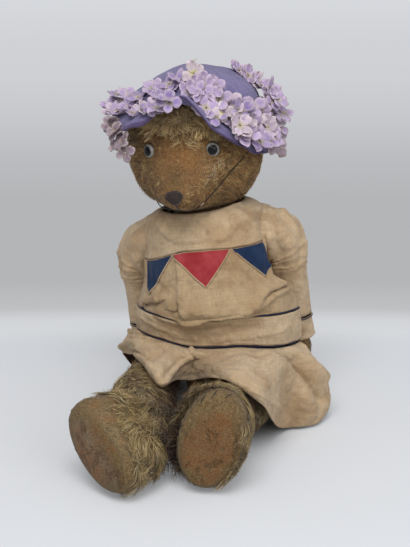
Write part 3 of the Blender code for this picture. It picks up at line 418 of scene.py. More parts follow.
def crown_point(turn, share):
    """A point of the crown: share runs 0 at its foot, 1 at its top."""
    table = [(i / (len(CROWN) - 1.0), *row) for i, row in enumerate(reversed(CROWN))]
    radius, height = between(table, share)
    rise = CROWN_FRONT_RISE * notch_share(turn) * max(0.0, 1.0 - height / CROWN[0][1]) ** 2
    sideways = radius * math.sin(turn)
    slump = CROWN_SLUMP * smooth_step((-sideways - CROWN_SLUMP_START) / CROWN_SLUMP_SPAN)
    return Vector((sideways + CROWN_LEAN * height, -radius * math.cos(turn), height * (1.0 - slump) + rise))


NECK = Matrix.Translation(lean((0.0, NECK_Y, NECK_HEIGHT))) @ Matrix.Rotation(-LEAN, 4, "Y")
SHOULDER = {side: Matrix.Translation(lean((sign * SHOULDER_FACE, SHOULDER_Y, SHOULDER_HEIGHT)))
            @ Matrix.Rotation(-LEAN, 4, "Y") for side, sign in SIDES}
HAT = Matrix.Translation(HAT_PLACE) @ Matrix.Rotation(HAT_ROLL, 4, "Y")


# Meshes

def place(name, mesh, materials, body, replaces=(), slot=None):
    """Put a mesh in the scene as a smooth piece that rides on a body."""
    made = bpy.data.objects.new(name, mesh)
    bpy.context.scene.collection.objects.link(made)
    mesh.shade_smooth()
    for material in materials if isinstance(materials, list) else [materials]:
        mesh.materials.append(material)
    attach(made, body)
    if replaces:
        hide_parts(*replaces)
    return made


def grid_mesh(name, rows, closed=True, drop=None, caps=()):
    """Quads through rows of points, with UVs in metres. drop(row, column) leaves a face out."""
    points = np.array([[tuple(point) for point in row] for row in rows])
    row_count, count = points.shape[:2]
    spans = count if closed else count - 1
    loop = np.concatenate([points, points[:, :1]], axis=1) if closed else points
    steps = np.linalg.norm(np.diff(loop, axis=1), axis=2).mean(axis=0)
    across = np.concatenate([[0.0], np.cumsum(steps)])
    drops = np.linalg.norm(np.diff(points, axis=0), axis=2).mean(axis=1)
    down = np.concatenate([[0.0], np.cumsum(drops)])
    corners = points.reshape(-1, 3).tolist()
    faces, places = [], []
    for r in range(row_count - 1):
        for c in range(spans):
            if drop and drop(r, c):
                continue
            d = (c + 1) % count
            faces.append((r * count + c, (r + 1) * count + c, (r + 1) * count + d, r * count + d))
            places += [(across[c], down[r]), (across[c], down[r + 1]),
                       (across[c + 1], down[r + 1]), (across[c + 1], down[r])]
    for row, flip in caps:
        hub = len(corners)
        corners.append(points[row].mean(axis=0).tolist())
        for c in range(count):
            d = (c + 1) % count
            face = (row * count + c, row * count + d, hub)
            faces.append(face[::-1] if flip else face)
            places += [(across[c], down[row]), (across[c + 1], down[row]), (across[c], down[row])]
    mesh = bpy.data.meshes.new(name)
    mesh.from_pydata(corners, [], faces)
    mesh.uv_layers.new(name="cloth").data.foreach_set("uv", np.array(places).ravel())
    return mesh


def array_mesh(name, points, faces):
    """A mesh from an array of points and an array of faces of one size."""
    mesh = bpy.data.meshes.new(name)
    mesh.vertices.add(len(points))
    mesh.vertices.foreach_set("co", np.asarray(points, dtype=np.float32).ravel())
    size = faces.shape[1]
    mesh.loops.add(faces.size)
    mesh.loops.foreach_set("vertex_index", faces.astype(np.int32).ravel())
    mesh.polygons.add(len(faces))
    mesh.polygons.foreach_set("loop_start", np.arange(len(faces), dtype=np.int32) * size)
    mesh.update(calc_edges=True)
    return mesh


def paint(mesh, name, colours):
    """Keep a colour at each point of a mesh for its material."""
    layer = mesh.color_attributes.new(name, "FLOAT_COLOR", "POINT")
    values = np.ones((len(mesh.vertices), 4), dtype=np.float32)
    values[:, :colours.shape[1]] = colours
    layer.data.foreach_set("color", values.ravel())


def cord_mesh(name, paths, radius, sides, closed):
    """Round cords along lists of points."""
    corners, faces = [], []
    for path in paths:
        count = len(path)
        start = len(corners)
        side = None
        for i, point in enumerate(path):
            before = path[i - 1] if closed or i else path[i]
            after = path[(i + 1) % count] if closed or i + 1 < count else path[i]
            ahead = (after - before).normalized()
            side = (side - ahead * side.dot(ahead)).normalized() if side else ahead.orthogonal().normalized()
            other = ahead.cross(side)
            corners += [point + (side * math.cos(turn) + other * math.sin(turn)) * radius
                        for turn in full_turns(sides)]
        for i in range(count if closed else count - 1):
            this, following = start + i * sides, start + (i + 1) % count * sides
            for k in range(sides):
                m = (k + 1) % sides
                faces.append((this + k, this + m, following + m, following + k))
        if not closed:
            faces.append(tuple(start + k for k in reversed(range(sides))))
            faces.append(tuple(start + (count - 1) * sides + k for k in range(sides)))
    mesh = bpy.data.meshes.new(name)
    mesh.from_pydata([tuple(corner) for corner in corners], [], faces)
    return mesh


def cord_piece(name, paths, radius, finish, body, nodes=(), slot="stitching", sides=6, closed=False):
    """Round cords along lists of points, as one piece."""
    place(name, cord_mesh(name, paths, radius, sides, closed), finish, body, nodes, slot)


def curve_through(points, steps):
    """Points on a smooth curve through given points."""
    table = [(float(i), *point) for i, point in enumerate(points)]
    return [Vector(between(table, (len(points) - 1.0) * share)) for share in shares(steps)]


# Materials

def tone(red, green, blue):
    """A linear colour from screen values of 0 to 255."""
    values = []
    for value in (red, green, blue):
        value /= 255.0
        values.append(value / 12.92 if value <= 0.04045 else ((value + 0.055) / 1.055) ** 2.4)
    return (*values, 1.0)


class Finish:
    """A node material while it is being built."""

    def __init__(self, name, **sockets):
        self.material = bpy.data.materials.new(name)
        self.material.use_nodes = True
        self.tree = self.material.node_tree
        self.shader = self.tree.nodes["Principled BSDF"]
        for socket, value in sockets.items():
            socket = socket.replace("_", " ").title().replace("Ior", "IOR")
            self.shader.inputs[socket].default_value = value
        coordinates = self.tree.nodes.new("ShaderNodeTexCoord")
        self.place = coordinates.outputs["Object"]
        self.cloth = coordinates.outputs["UV"]

    def feed(self, socket, value):
        """Give a socket a value or another node's output."""
        if isinstance(value, bpy.types.NodeSocket):
            self.tree.links.new(value, socket)
        else:
            socket.default_value = value

    def node(self, kind, inputs, **settings):
        """A node with its settings and inputs."""
        made = self.tree.nodes.new(f"ShaderNode{kind}")
        for key, value in settings.items():
            setattr(made, key, value)
        for key, value in inputs.items():
            self.feed(made.inputs[key], value)
        return made

    def vector(self, operation, first, second=(0.0, 0.0, 0.0), output=0):
        """Arithmetic on vectors."""
        return self.node("VectorMath", {0: first, 1: second}, operation=operation).outputs[output]

    def maths(self, operation, first, second=0.0):
        """Arithmetic on values."""
        return self.node("Math", {0: first, 1: second}, operation=operation).outputs[0]

    def noise(self, scale, detail=4.0, roughness=0.6, distortion=0.0, at=None):
        """Cloudy variation from 0 to 1."""
        inputs = {"Vector": at or self.place, "Scale": scale, "Detail": detail, "Roughness": roughness,
                  "Distortion": distortion}
        return self.node("TexNoise", inputs).outputs[0]

    def wave(self, period, axis, at=None, distortion=0.0, detail_scale=1.0):
        """Straight bands of a period in metres across an axis."""
        inputs = {"Vector": at or self.cloth, "Scale": math.pi / 10.0 / period, "Distortion": distortion,
                  "Detail": 2.0, "Detail Scale": detail_scale}
        return self.node("TexWave", inputs, bands_direction=axis).outputs[1]

    def weave(self, warp, weft, **settings):
        """A plain weave, from the spacing of its threads each way."""
        return self.maths("MULTIPLY", self.wave(warp, "X", **settings), self.wave(weft, "Y", **settings))

    def facets(self, scale):
        """Flat facets with creases between them."""
        edges = self.node("TexVoronoi", {"Vector": self.place, "Scale": scale}, feature="DISTANCE_TO_EDGE")
        return self.window(edges.outputs[0], 0.0, 0.35)

    def window(self, value, low, high, start=0.0, end=1.0):
        """A value eased from start to end between low and high."""
        inputs = {"Value": value, "From Min": low, "From Max": high, "To Min": start, "To Max": end}
        return self.node("MapRange", inputs, interpolation_type="SMOOTHSTEP").outputs[0]

    def mix(self, share, first, second, blend="MIX"):
        """Two colours mixed by a share."""
        inputs = {0: share, 6: first, 7: second}
        return self.node("Mix", inputs, data_type="RGBA", blend_type=blend).outputs[2]

    def clouds(self, colour, *layers):
        """Clouds of other colours over a colour. Each has its noise, the noise's window, and a share."""
        for other, cloud, low, high, share in layers:
            colour = self.mix(self.window(self.noise(*cloud), low, high, 0.0, share), colour, other)
        return colour

    def attribute(self, name):
        """A colour kept at the points of the mesh."""
        return self.node("VertexColor", {}, layer_name=name).outputs["Color"]

    def bump(self, height, distance, strength, under=None):
        """Small relief for the shader's normal."""
        inputs = {"Strength": strength, "Distance": distance, "Height": height}
        if under is not None:
            inputs["Normal"] = under
        return self.node("Bump", inputs).outputs[0]

    def done(self, colour, normal=None, roughness=None):
        """Connect what was built to the shader."""
        for socket, value in (("Base Color", colour), ("Roughness", roughness), ("Normal", normal)):
            if value is not None:
                self.feed(self.shader.inputs[socket], value)
        return self.material


def shade(colour, factor):
    """A darker or lighter colour."""
    return (*(min(value * factor, 1.0) for value in colour[:3]), 1.0)


def clouded(name, base, layers=(), relief=None, **sockets):
    """A finish of clouds over a colour, or over the painted tint if it is None, with noise as relief."""
    f = Finish(name, **sockets)
    colour = f.clouds(base or f.attribute("tint"), *layers)
    return f.done(colour, relief and f.bump(f.noise(*relief[0]), *relief[1:]))


LINEN_THREAD = 0.0007
THREAD_STREAKS = ((0.25, 3.0, 1.0), (3.0, 0.25, 1.0))


def linen(name, light, worn, dirty):
    """Worn plain-woven cloth with slubs, faded patches, stains and creases."""
    f = Finish(name, roughness=0.93, sheen_weight=0.12, sheen_roughness=0.6, specular_ior_level=0.2)
    weave = f.weave(LINEN_THREAD, LINEN_THREAD * 1.15, distortion=0.6, detail_scale=90.0)
    slubs, streaks = (f.noise(260.0, at=f.vector("MULTIPLY", f.cloth, along)) for along in THREAD_STREAKS)
    colour = f.clouds(light, (worn, (17.0, 5.0), 0.40, 0.64, 1.0),
                      (dirty, (26.0, 6.0, 0.6, 0.8), 0.50, 0.68, 0.85),
                      (shade(dirty, 0.8), (64.0, 6.0, 0.6, 1.5), 0.58, 0.72, 0.32))
    threads = f.maths("MULTIPLY", slubs, streaks)
    colour = f.mix(f.window(threads, 0.12, 0.36, 0.45, 0.0), colour, shade(worn, 0.66))
    colour = f.mix(f.window(weave, 0.0, 0.5, 0.22, 0.0), colour, shade(worn, 0.55))
    relief = None
    for height, distance, strength in (
            (f.facets(46.0), 0.0022, 0.55), (f.facets(105.0), 0.0008, 0.5),
            (f.noise(75.0, 5.0, 0.62, 1.4), 0.0018, 0.75), (f.noise(420.0, 3.0), 0.00035, 0.5),
            (weave, 0.00025, 0.7)):
        relief = f.bump(height, distance, strength, relief)
    return f.done(colour, relief)


LINEN = linen("linen_worn", tone(205, 181, 148), tone(184, 155, 119), tone(160, 130, 94))
# The bodice's linen, darker than the rest: partly its stains, partly painted shade
LINEN_FRONT_DIRT_AND_SHADE = linen("linen_front_dirt_and_shade", tone(188, 163, 128), tone(168, 139, 102), tone(144, 115, 80))
# The sleeves' and cuffs' linen, lighter than the rest: painted light on the sides of the dress
LINEN_SLEEVE_PAINTED_LIGHT = linen("linen_sleeve_painted_light", tone(214, 189, 155), tone(197, 167, 130), tone(174, 143, 106))
# The inside of every cloth sheet: the same linen painted dark reddish brown as shade under and inside the
# dress
LINEN_INSIDE_PAINTED_SHADE = linen("linen_inside_painted_shade", tone(104, 70, 52), tone(84, 54, 40), tone(64, 38, 28))

COTTON_THREADS = (0.0008, 0.0009)


def plain_cotton(name, colour, faded):
    """Plain dyed cotton, faded along its threads."""
    f = Finish(name, roughness=0.9, sheen_weight=0.1, specular_ior_level=0.2)
    weave = f.weave(*COTTON_THREADS)
    base = f.clouds(colour, (faded, (55.0, 5.0), 0.35, 0.75, 1.0))
    base = f.mix(f.window(weave, 0.0, 0.6, 0.35, 0.0), base, shade(colour, 0.55))
    return f.done(base, f.bump(weave, 0.0002, 0.6))


RED = plain_cotton("pennant_red", tone(150, 42, 48), tone(176, 74, 78))
BLUE = plain_cotton("pennant_blue", tone(18, 38, 68), tone(36, 58, 90))
NAVY = plain_cotton("navy_piping", tone(26, 32, 58), tone(52, 56, 80))


def hat_cloth():
    """Lavender woven cloth with dusty patches and a dark band along the brim's edge."""
    f = Finish("hat_cloth", roughness=0.92, sheen_weight=0.2, sheen_roughness=0.5, specular_ior_level=0.2)
    weave = f.weave(*COTTON_THREADS)
    colour = f.clouds(tone(124, 115, 156), (tone(108, 100, 142), (24.0, 5.0), 0.38, 0.66, 1.0),
                      (tone(106, 100, 118), (45.0, 6.0, 0.6, 1.0), 0.60, 0.74, 0.6),
                      (tone(150, 142, 178), (380.0, 3.0, 0.8), 0.47, 0.64, 0.55),
                      (tone(82, 74, 112), (300.0, 3.0, 0.8), 0.50, 0.66, 0.40))
    colour = f.mix(f.window(weave, 0.0, 0.6, 0.35, 0.0), colour, tone(72, 62, 104))
    colour = f.mix(f.attribute("band"), colour, tone(78, 62, 100))
    return f.done(colour, f.bump(weave, 0.0003, 0.8, f.bump(f.noise(420.0, 3.0), 0.0004, 0.6)))


LAVENDER = hat_cloth()


def mohair_backing():
    """The woven ground of the mohair, where the pile has worn off."""
    f = Finish("mohair_backing", roughness=0.95, specular_ior_level=0.15, sheen_weight=0.1)
    speckle = f.noise(620.0, 3.0, 0.7)
    colour = f.mix(f.window(speckle, 0.44, 0.66, 0.0, 0.8), f.attribute("tint"), tone(150, 122, 84))
    colour = f.clouds(colour, (tone(78, 56, 34), (300.0, 4.0, 0.7), 0.50, 0.70, 0.65),
                      (tone(128, 84, 44), (70.0, 5.0), 0.5, 0.72, 0.45))
    rows = f.wave(0.0011, "Z", at=f.place, distortion=1.2, detail_scale=60.0)
    colour = f.mix(f.window(rows, 0.0, 0.5, 0.16, 0.0), colour, tone(70, 50, 32))
    return f.done(colour, f.bump(f.maths("ADD", speckle, rows), 0.0004, 0.6))


BACKING = mohair_backing()

# Mohair fibres, coloured strand by strand
PILE = clouded("mohair_pile", None, [(tone(112, 92, 62), (90.0, 4.0), 0.4, 0.7, 0.25)], roughness=0.62,
               specular_ior_level=0.35, sheen_weight=0.25, sheen_roughness=0.4)

# Stiffened cloth petals: veined, tinted, with creamy rims
PETAL = clouded("petals", None, [(tone(214, 196, 210), (160.0, 4.0), 0.35, 0.7, 0.35),
                                 (tone(132, 108, 130), (420.0, 2.0), 0.5, 0.75, 0.25)],
                ((500.0, 3.0), 0.0003, 0.5), roughness=0.85, specular_ior_level=0.25)

# Matted felt with rust-brown and grey stains
RUST = tone(112, 76, 44)
FELT_GREY = tone(112, 96, 70)
FELT = clouded("felt_sole", None, [
    (RUST, (45.0, 6.0, 0.7), 0.48, 0.58, 0.7),
    (shade(RUST, 0.42), (52.0, 6.0, 0.7, 0.9), 0.50, 0.58, 0.75),
    (FELT_GREY, (110.0, 6.0, 0.7, 0.6), 0.50, 0.66, 0.6),
    (shade(FELT_GREY, 1.6), (700.0, 3.0, 0.7), 0.48, 0.7, 0.55),
    (shade(tone(96, 76, 50), 0.5), (520.0, 3.0, 0.7), 0.50, 0.66, 0.6),
], ((600.0, 4.0, 0.7), 0.0005, 0.7), roughness=0.96, specular_ior_level=0.15, sheen_weight=0.15)

# Glass eyes, painted by distance from their middle, under a clear coat
EYE = clouded("eye_glass", None, roughness=0.30, specular_ior_level=0.2, coat_weight=0.18,
              coat_roughness=0.05)

# Pressed board of the joint discs
BOARD = clouded("joint_board", tone(116, 86, 60), [(tone(146, 114, 82), (300.0, 5.0), 0.35, 0.7, 1.0)],
                ((700.0, 3.0), 0.0002, 0.5), roughness=0.85)


def wool(name, colour, lighter):
    """Fuzzy thread."""
    f = Finish(name, roughness=0.8, specular_ior_level=0.3, sheen_weight=0.2)
    fuzz = f.noise(900.0, 3.0)
    return f.done(f.mix(f.window(fuzz, 0.4, 0.7), colour, lighter), f.bump(fuzz, 0.0003, 0.6))


WOOL = wool("dark_wool", tone(34, 26, 22), tone(58, 45, 38))
NOSE_WOOL = wool("nose_wool", tone(34, 24, 22), tone(74, 56, 50))
ELASTIC = wool("dark_elastic", tone(20, 14, 14), tone(48, 36, 34))
PALE_THREAD = wool("pale_thread", tone(196, 178, 148), tone(214, 200, 176))
STEM = wool("stem_paper", tone(190, 180, 140), tone(212, 204, 172))


def steel():
    """Plain steel of the cotter pins, dulled with age."""
    f = Finish("cotter_pin", metallic=1.0, roughness=0.4)
    dull = f.noise(400.0, 4.0)
    colour = f.mix(f.window(dull, 0.45, 0.7), tone(150, 148, 144), tone(104, 92, 80))
    return f.done(colour, roughness=f.window(dull, 0.3, 0.8, 0.3, 0.6))


STEEL = steel()


# Cloth

def spaced_turns(front, back, half_front):
    """Turns round the bear, closer together over the front."""
    rest = math.tau - 2.0 * half_front
    return ([-half_front + 2.0 * half_front * i / front for i in range(front)]
            + [half_front + rest * i / back for i in range(back)])


TURNS = spaced_turns(196, 48, math.radians(112.0))
# Each cloth paired with its inside, which is painted dark as shade
CLOTH_WITH_SHADED_INSIDE = [LINEN, LINEN_INSIDE_PAINTED_SHADE]
BODICE_CLOTH_WITH_SHADED_INSIDE = [LINEN_FRONT_DIRT_AND_SHADE, LINEN_INSIDE_PAINTED_SHADE]
SLEEVE_CLOTH_WITH_SHADED_INSIDE = [LINEN_SLEEVE_PAINTED_LIGHT, LINEN_INSIDE_PAINTED_SHADE]


def thicken(piece, thickness, offset=1.0):
    """Give a sheet of cloth its thickness, with its second material inside."""
    made = piece.modifiers.new("Cloth", "SOLIDIFY")
    made.thickness = thickness
    made.offset = offset
    made.use_rim = True
    # A second material, where there is one, is the cloth's inside painted dark as shade
    if len(piece.data.materials) > 1:
        made.material_offset = 1


def cloth_piece(name, rows, materials, body, nodes, slot="linen", thickness=CLOTH, **settings):
    """A sheet of cloth through rows of points."""
    piece = place(name, grid_mesh(name, rows, **settings), materials, body, nodes, slot)
    thicken(piece, thickness)
    return piece


def crumple(point, size, scale=1.0, seed=0.0):
    """Small irregular wrinkles of a size in metres."""
    return size * noise.fractal(Vector(point) * scale + Vector((seed, 0.0, 0.0)), 0.9, 2.0, 3)


def fold_lift(folds, x, y):
    """How far folds raise a place on cloth. Each is a line, a width on either side and a height."""
    lift = 0.0
    for line, left_width, right_width, amount in folds:
        nearest, side = 1.0, 1.0
        for (ax, ay), (bx, by) in zip(line, line[1:]):
            dx, dy = bx - ax, by - ay
            share = min(max(((x - ax) * dx + (y - ay) * dy) / (dx * dx + dy * dy), 0.0), 1.0)
            away_x, away_y = x - ax - dx * share, y - ay - dy * share
            away = math.hypot(away_x, away_y)
            if away < nearest:
                nearest = away
                side = dx * away_y - dy * away_x
        lift += amount * math.exp(-((nearest / (left_width if side > 0.0 else right_width)) ** 2))
    return lift


def on_cloth(folds, across, down, height):
    """Folds given in degrees and a second measure, turned into metres on the cloth and raised by a factor."""
    return [([(degrees * across, measure * down) for degrees, measure in line], left, right, amount * height)
            for line, left, right, amount in folds]


# Folds: a line of degrees and heights, its width on the left and on the right, and how far it stands out
DEGREE = 0.0013
BODICE_FOLDS = on_cloth([
    ([(-16, 0.188), (-12.5, 0.158), (-10.5, 0.136)], 0.0100, 0.0008, 0.0026),
    ([(38, 0.188), (33.5, 0.160), (30, 0.138)], 0.0060, 0.0007, 0.0011),
    ([(21, 0.160), (19, 0.140)], 0.0040, 0.0007, 0.0006),
    ([(-6, 0.1350), (5, 0.1345), (18, 0.1300), (34, 0.1270)], 0.0150, 0.0080, 0.0042),
    ([(33, 0.1270), (54, 0.1400), (78, 0.1390)], 0.0042, 0.0026, 0.0036),
    ([(41, 0.1275), (60, 0.1325), (83, 0.1320)], 0.0030, 0.0022, 0.0028),
    ([(40, 0.1262), (58, 0.1362), (80, 0.1355)], 0.0018, 0.0018, -0.0014),
    ([(-50, 0.1370), (-27, 0.1440)], 0.0060, 0.0012, 0.0030),
    ([(-11.5, 0.142), (-10, 0.130)], 0.0016, 0.0016, -0.0034),
    ([(-60, 0.176), (-46, 0.155), (-32, 0.146)], 0.0040, 0.0030, 0.0018),
    ([(-36, 0.160), (-24, 0.150)], 0.0045, 0.0045, -0.0010),
    ([(48, 0.131), (50, 0.121)], 0.0016, 0.0016, 0.0011),
    ([(56, 0.129), (58, 0.119)], 0.0016, 0.0016, 0.0010),
    ([(66, 0.160), (72, 0.146), (74, 0.134)], 0.0035, 0.0020, 0.0018),
], DEGREE, 1.0, 1.35)
YOKE_FOLDS = on_cloth([
    ([(-44, 0.216), (-22, 0.203), (-2, 0.199)], 0.0050, 0.0030, 0.0022),
    ([(52, 0.216), (38, 0.204), (26, 0.198)], 0.0030, 0.0040, 0.0020),
    ([(4, 0.215), (14, 0.206)], 0.0030, 0.0030, -0.0016),
    ([(-30, 0.218), (-36, 0.204), (-38, 0.196)], 0.0020, 0.0030, 0.0014),
    ([(30, 0.217), (20, 0.208), (6, 0.205)], 0.0020, 0.0030, 0.0014),
], DEGREE, 1.0, 1.0)
BELT_WIDTH = BELT_TOP - BELT_BOTTOM
BELT_FOLDS = on_cloth([
    ([(-60, 0.006), (-30, 0.016), (-5, 0.020)], 0.0026, 0.0030, 0.0015),
    ([(-35, 0.004), (-8, 0.010), (20, 0.008)], 0.0022, 0.0025, -0.0016),
    ([(10, 0.022), (40, 0.018), (70, 0.012)], 0.0026, 0.0030, 0.0014),
], DEGREE, 1.0, 1.4)
SKIRT_DEGREE = 0.0016
SKIRT_DROP = -0.085
SKIRT_FOLDS = on_cloth([
    ([(49, 0.02), (62, 0.26), (78, 0.60), (85, 0.84)], 0.0040, 0.0130, 0.0046),
    ([(56, 0.05), (71, 0.33), (85, 0.64), (91, 0.84)], 0.0044, 0.0036, -0.0075),
    ([(66, 0.04), (84, 0.34), (97, 0.66)], 0.0050, 0.0050, 0.0040),
    ([(-9, 0.0), (-3, 0.22), (5, 0.46)], 0.0022, 0.0030, 0.0032),
    ([(-3, 0.02), (3, 0.20)], 0.0016, 0.0016, -0.0022),
    ([(-24, 0.02), (-14, 0.30), (-6, 0.44)], 0.0050, 0.0030, 0.0020),
    ([(-42, 0.02), (-56, 0.26), (-76, 0.56), (-94, 0.84)], 0.0060, 0.0030, 0.0046),
    ([(-52, 0.05), (-66, 0.26), (-86, 0.52)], 0.0026, 0.0030, -0.0034),
    ([(-60, 0.03), (-78, 0.20), (-98, 0.45)], 0.0030, 0.0030, 0.0036),
    ([(-28, 0.06), (-42, 0.40), (-64, 0.74), (-78, 0.96)], 0.0050, 0.0050, -0.0040),
    ([(4, 0.34), (-12, 0.60), (-31, 0.94)], 0.0070, 0.0040, 0.0030),
    ([(24, 0.10), (18, 0.50), (22, 0.90)], 0.0060, 0.0060, -0.0016),
    ([(34, 0.06), (38, 0.50), (46, 0.96)], 0.0040, 0.0070, 0.0016),
    ([(54, 0.52), (60, 0.76), (64, 0.98)], 0.0012, 0.0040, 0.0013),
    ([(42, 0.86), (56, 0.80), (66, 0.84)], 0.0020, 0.0020, 0.0012),
], SKIRT_DEGREE, SKIRT_DROP, 1.12)

# How far the bodice hangs over the belt: turn in degrees, drop
OVERHANG = [(-180, 0.0), (-30, 0.0), (-14, 0.0012), (-8, 0.0046), (2, 0.0044), (9, 0.0012), (16, 0.0016),
            (33, 0.0014), (43, 0.0004), (60, 0.0), (180, 0.0)]
OVERHANG_OUT = 0.697
ROLL_START = 0.80
ROLL_EDGE = 0.0006
COLLAR_TURN = 58.0
COLLAR_WIDTH = 13.0
COLLAR_RISE = 0.0024
COLLAR_OUT = 0.0015
SEAM_BAND = 0.0006
SEAM_BAND_START = 0.88
BODICE_CRUMPLE = 0.0011
YOKE_CRUMPLE = 0.0006
BELT_CRUMPLE = 0.0010
PIPING_CRUMPLE = 0.0005
PIPING_WANDER = 0.0006


def from_shoulder(point):
    """Distance of an upright point from the line through the shoulders."""
    return math.hypot(point.y - SHOULDER_Y, point.z - SHOULDER_HEIGHT)


def in_armhole(point):
    """Whether a point of the upright dress is inside an armhole."""
    return abs(point.x) > SHOULDER_FACE - ARMHOLE_INSET and from_shoulder(point) < ARMHOLE_RADIUS


def open_armholes(rows):
    """Round the armholes out of upright rows, bend the rows, and say which faces are open."""
    count = len(rows[0])
    inside = [[in_armhole(point) for point in row] for row in rows]

    def open_face(r, c):
        d = (c + 1) % count
        return inside[r][c] and inside[r + 1][c] and inside[r][d] and inside[r + 1][d]

    def rounded(point):
        grow = ARMHOLE_RADIUS / max(from_shoulder(point), 0.004)
        if in_armhole(point) and grow < 1.25:
            point = Vector((point.x, SHOULDER_Y + (point.y - SHOULDER_Y) * grow,
                            SHOULDER_HEIGHT + (point.z - SHOULDER_HEIGHT) * grow))
        return lean(point)

    return [[rounded(point) for point in row] for row in rows], open_face


def degrees_of(turn):
    """A turn in degrees from -180 to 180."""
    return math.degrees(math.remainder(turn, math.tau))


def bodice_fold(turn, height):
    """How far the bodice stands out in its pleats, folds and gathers."""
    degrees = degrees_of(turn)
    gathered = 0.5 + 0.5 * math.cos(GATHERS * turn + 0.6 * math.sin(3.0 * turn))
    back = smooth_step((abs(degrees) - 70.0) / 40.0)
    lift = BODICE_FOLD * gathered * (0.22 + 0.5 * back) * smooth_step((seam_height(turn) - height) / 0.02)
    return lift + fold_lift(BODICE_FOLDS, degrees * DEGREE, height)


def bodice_crumple(turn, height):
    """Wrinkles of the bodice, which the pennants on it share."""
    return crumple((turn * 4.0, height * 40.0, 3.0), BODICE_CRUMPLE)


def yoke_crumple(turn, height):
    """Wrinkles of the yoke."""
    return crumple((turn * 3.0, height * 30.0, 0.0), YOKE_CRUMPLE)


def belt_point(turn, share, above=0.0):
    """A point of the belt, or of stitches above it, from its top at 0 to its bottom at 1."""
    lift = BELT_LIFT + above + crumple((turn * 5.0, share * 2.0, 7.0), BELT_CRUMPLE)
    lift += fold_lift(BELT_FOLDS, degrees_of(turn) * DEGREE, share * BELT_WIDTH)
    return lean(dress_upright(turn, belt_height(BELT_TOP - BELT_WIDTH * share, turn), lift))


def waist_height(turn):
    """Where the bodice meets the belt."""
    return belt_height(BELT_TOP + 2.0 * PIPING_RADIUS + 2.0 * GAP + CLOTH_GAP, turn)


def yoke_piece():
    """The yoke, stretched over the chest."""
    top = DRESS[-1][0]
    rows = []
    for share in shares(22):
        row = []
        for turn in TURNS:
            degrees = degrees_of(turn)
            collar = math.exp(-(((degrees - COLLAR_TURN) / COLLAR_WIDTH) ** 2)) * (1.0 - share) ** 4
            height = top + (seam_height(turn) - top) * share + COLLAR_RISE * collar
            lift = fold_lift(YOKE_FOLDS, degrees * DEGREE, height) + COLLAR_OUT * collar
            lift += SEAM_BAND * smooth_step((share - SEAM_BAND_START) / 0.02)
            lift += yoke_crumple(turn, height) if share else 0.0
            row.append(dress_upright(turn, min(height, top), lift) + UP * max(height - top, 0.0))
        rows.append(row)
    bent, open_face = open_armholes(rows)
    yoke = cloth_piece("dress_yoke", bent, CLOTH_WITH_SHADED_INSIDE, "torso", ["yoke"], drop=open_face)


def bodice_piece():
    """The bodice, gathered below the yoke, that blouses over the belt."""
    rows = []
    for share in shares(78):
        row = []
        roll = max(0.0, share - ROLL_START) / (1.0 - ROLL_START)
        for turn in TURNS:
            seam = seam_height(turn) - CLOTH_GAP
            height = seam + (waist_height(turn) - seam) * min(share / ROLL_START, 1.0)
            lift = bodice_fold(turn, height) + bodice_crumple(turn, height) * min(1.0, share * 6.0)
            hang = between(OVERHANG, degrees_of(turn))[0] * math.sin(math.pi * roll)
            if roll > 0.0:
                lift *= (1.0 - roll) ** 0.5
                lift += OVERHANG_OUT * hang * (1.0 - 0.3 * roll) + ROLL_EDGE * (1.0 - roll)
            row.append(dress_upright(turn, height, lift) - UP * hang)
        rows.append(row)
    bent, open_face = open_armholes(rows)
    bodice = cloth_piece("dress_bodice", bent, BODICE_CLOTH_WITH_SHADED_INSIDE, "torso", ["bodice"], drop=open_face)


def belt_pieces():
    """The belt and the piping along its two edges."""
    rows = [[belt_point(turn, share) for turn in TURNS] for share in shares(14)]
    belt = cloth_piece("dress_belt", rows, CLOTH_WITH_SHADED_INSIDE, "torso", ["belt"], thickness=CLOTH * 1.3)
    edges = {"top": BELT_TOP + PIPING_RADIUS + GAP, "bottom": BELT_BOTTOM - PIPING_RADIUS - GAP}
    for name, height in edges.items():
        ring = []
        for turn in TURNS:
            lift = BELT_LIFT + CLOTH * 0.65 + crumple((turn * 5.0, height * 90.0, 7.0), PIPING_CRUMPLE)
            wander = crumple((turn * 3.0, height * 90.0, 9.0), PIPING_WANDER)
            ring.append(lean(dress_upright(turn, belt_height(height, turn) + wander, lift)))
        cord_piece(f"piping_{name}", [ring], PIPING_RADIUS * 0.85, NAVY, "torso", [f"belt_piping_{name}"],
                   "navy_piping", 8, closed=True)


def skirt_point(turn, share):
    """A point of the skirt from the belt at 0 to the hem at 1."""
    closed_hem = [(HEM[-1][0] - 360, *HEM[-1][1:]), *HEM, (360, *HEM[0][1:])]
    top = BELT_BOTTOM - 2.0 * PIPING_RADIUS - 2.0 * GAP - CLOTH - CLOTH_GAP
    waist = lean(dress_upright(turn, belt_height(top, turn)))
    hem = Vector(between(closed_hem, math.degrees(turn) % 360.0))
    point = waist.lerp(hem, 1.0 - (1.0 - share) ** SPREAD)
    point.z = waist.z + (hem.z - waist.z) * share ** DRAPE
    puff = math.sin(math.pi * share)
    back = 1.0 - smooth_step((100.0 - abs(degrees_of(turn))) / 20.0)
    fold = SKIRT_FOLD * math.cos(9.0 * turn + 1.2) * puff * share * (0.3 + 1.5 * back)
    point += outward(turn) * (puff * SKIRT_PUFF + fold)
    point.z += (SKIRT_PUFF * puff * share + fold * 0.5) * front_share(turn) ** 2
    return point


SKIRT_FLOOR = 0.0016


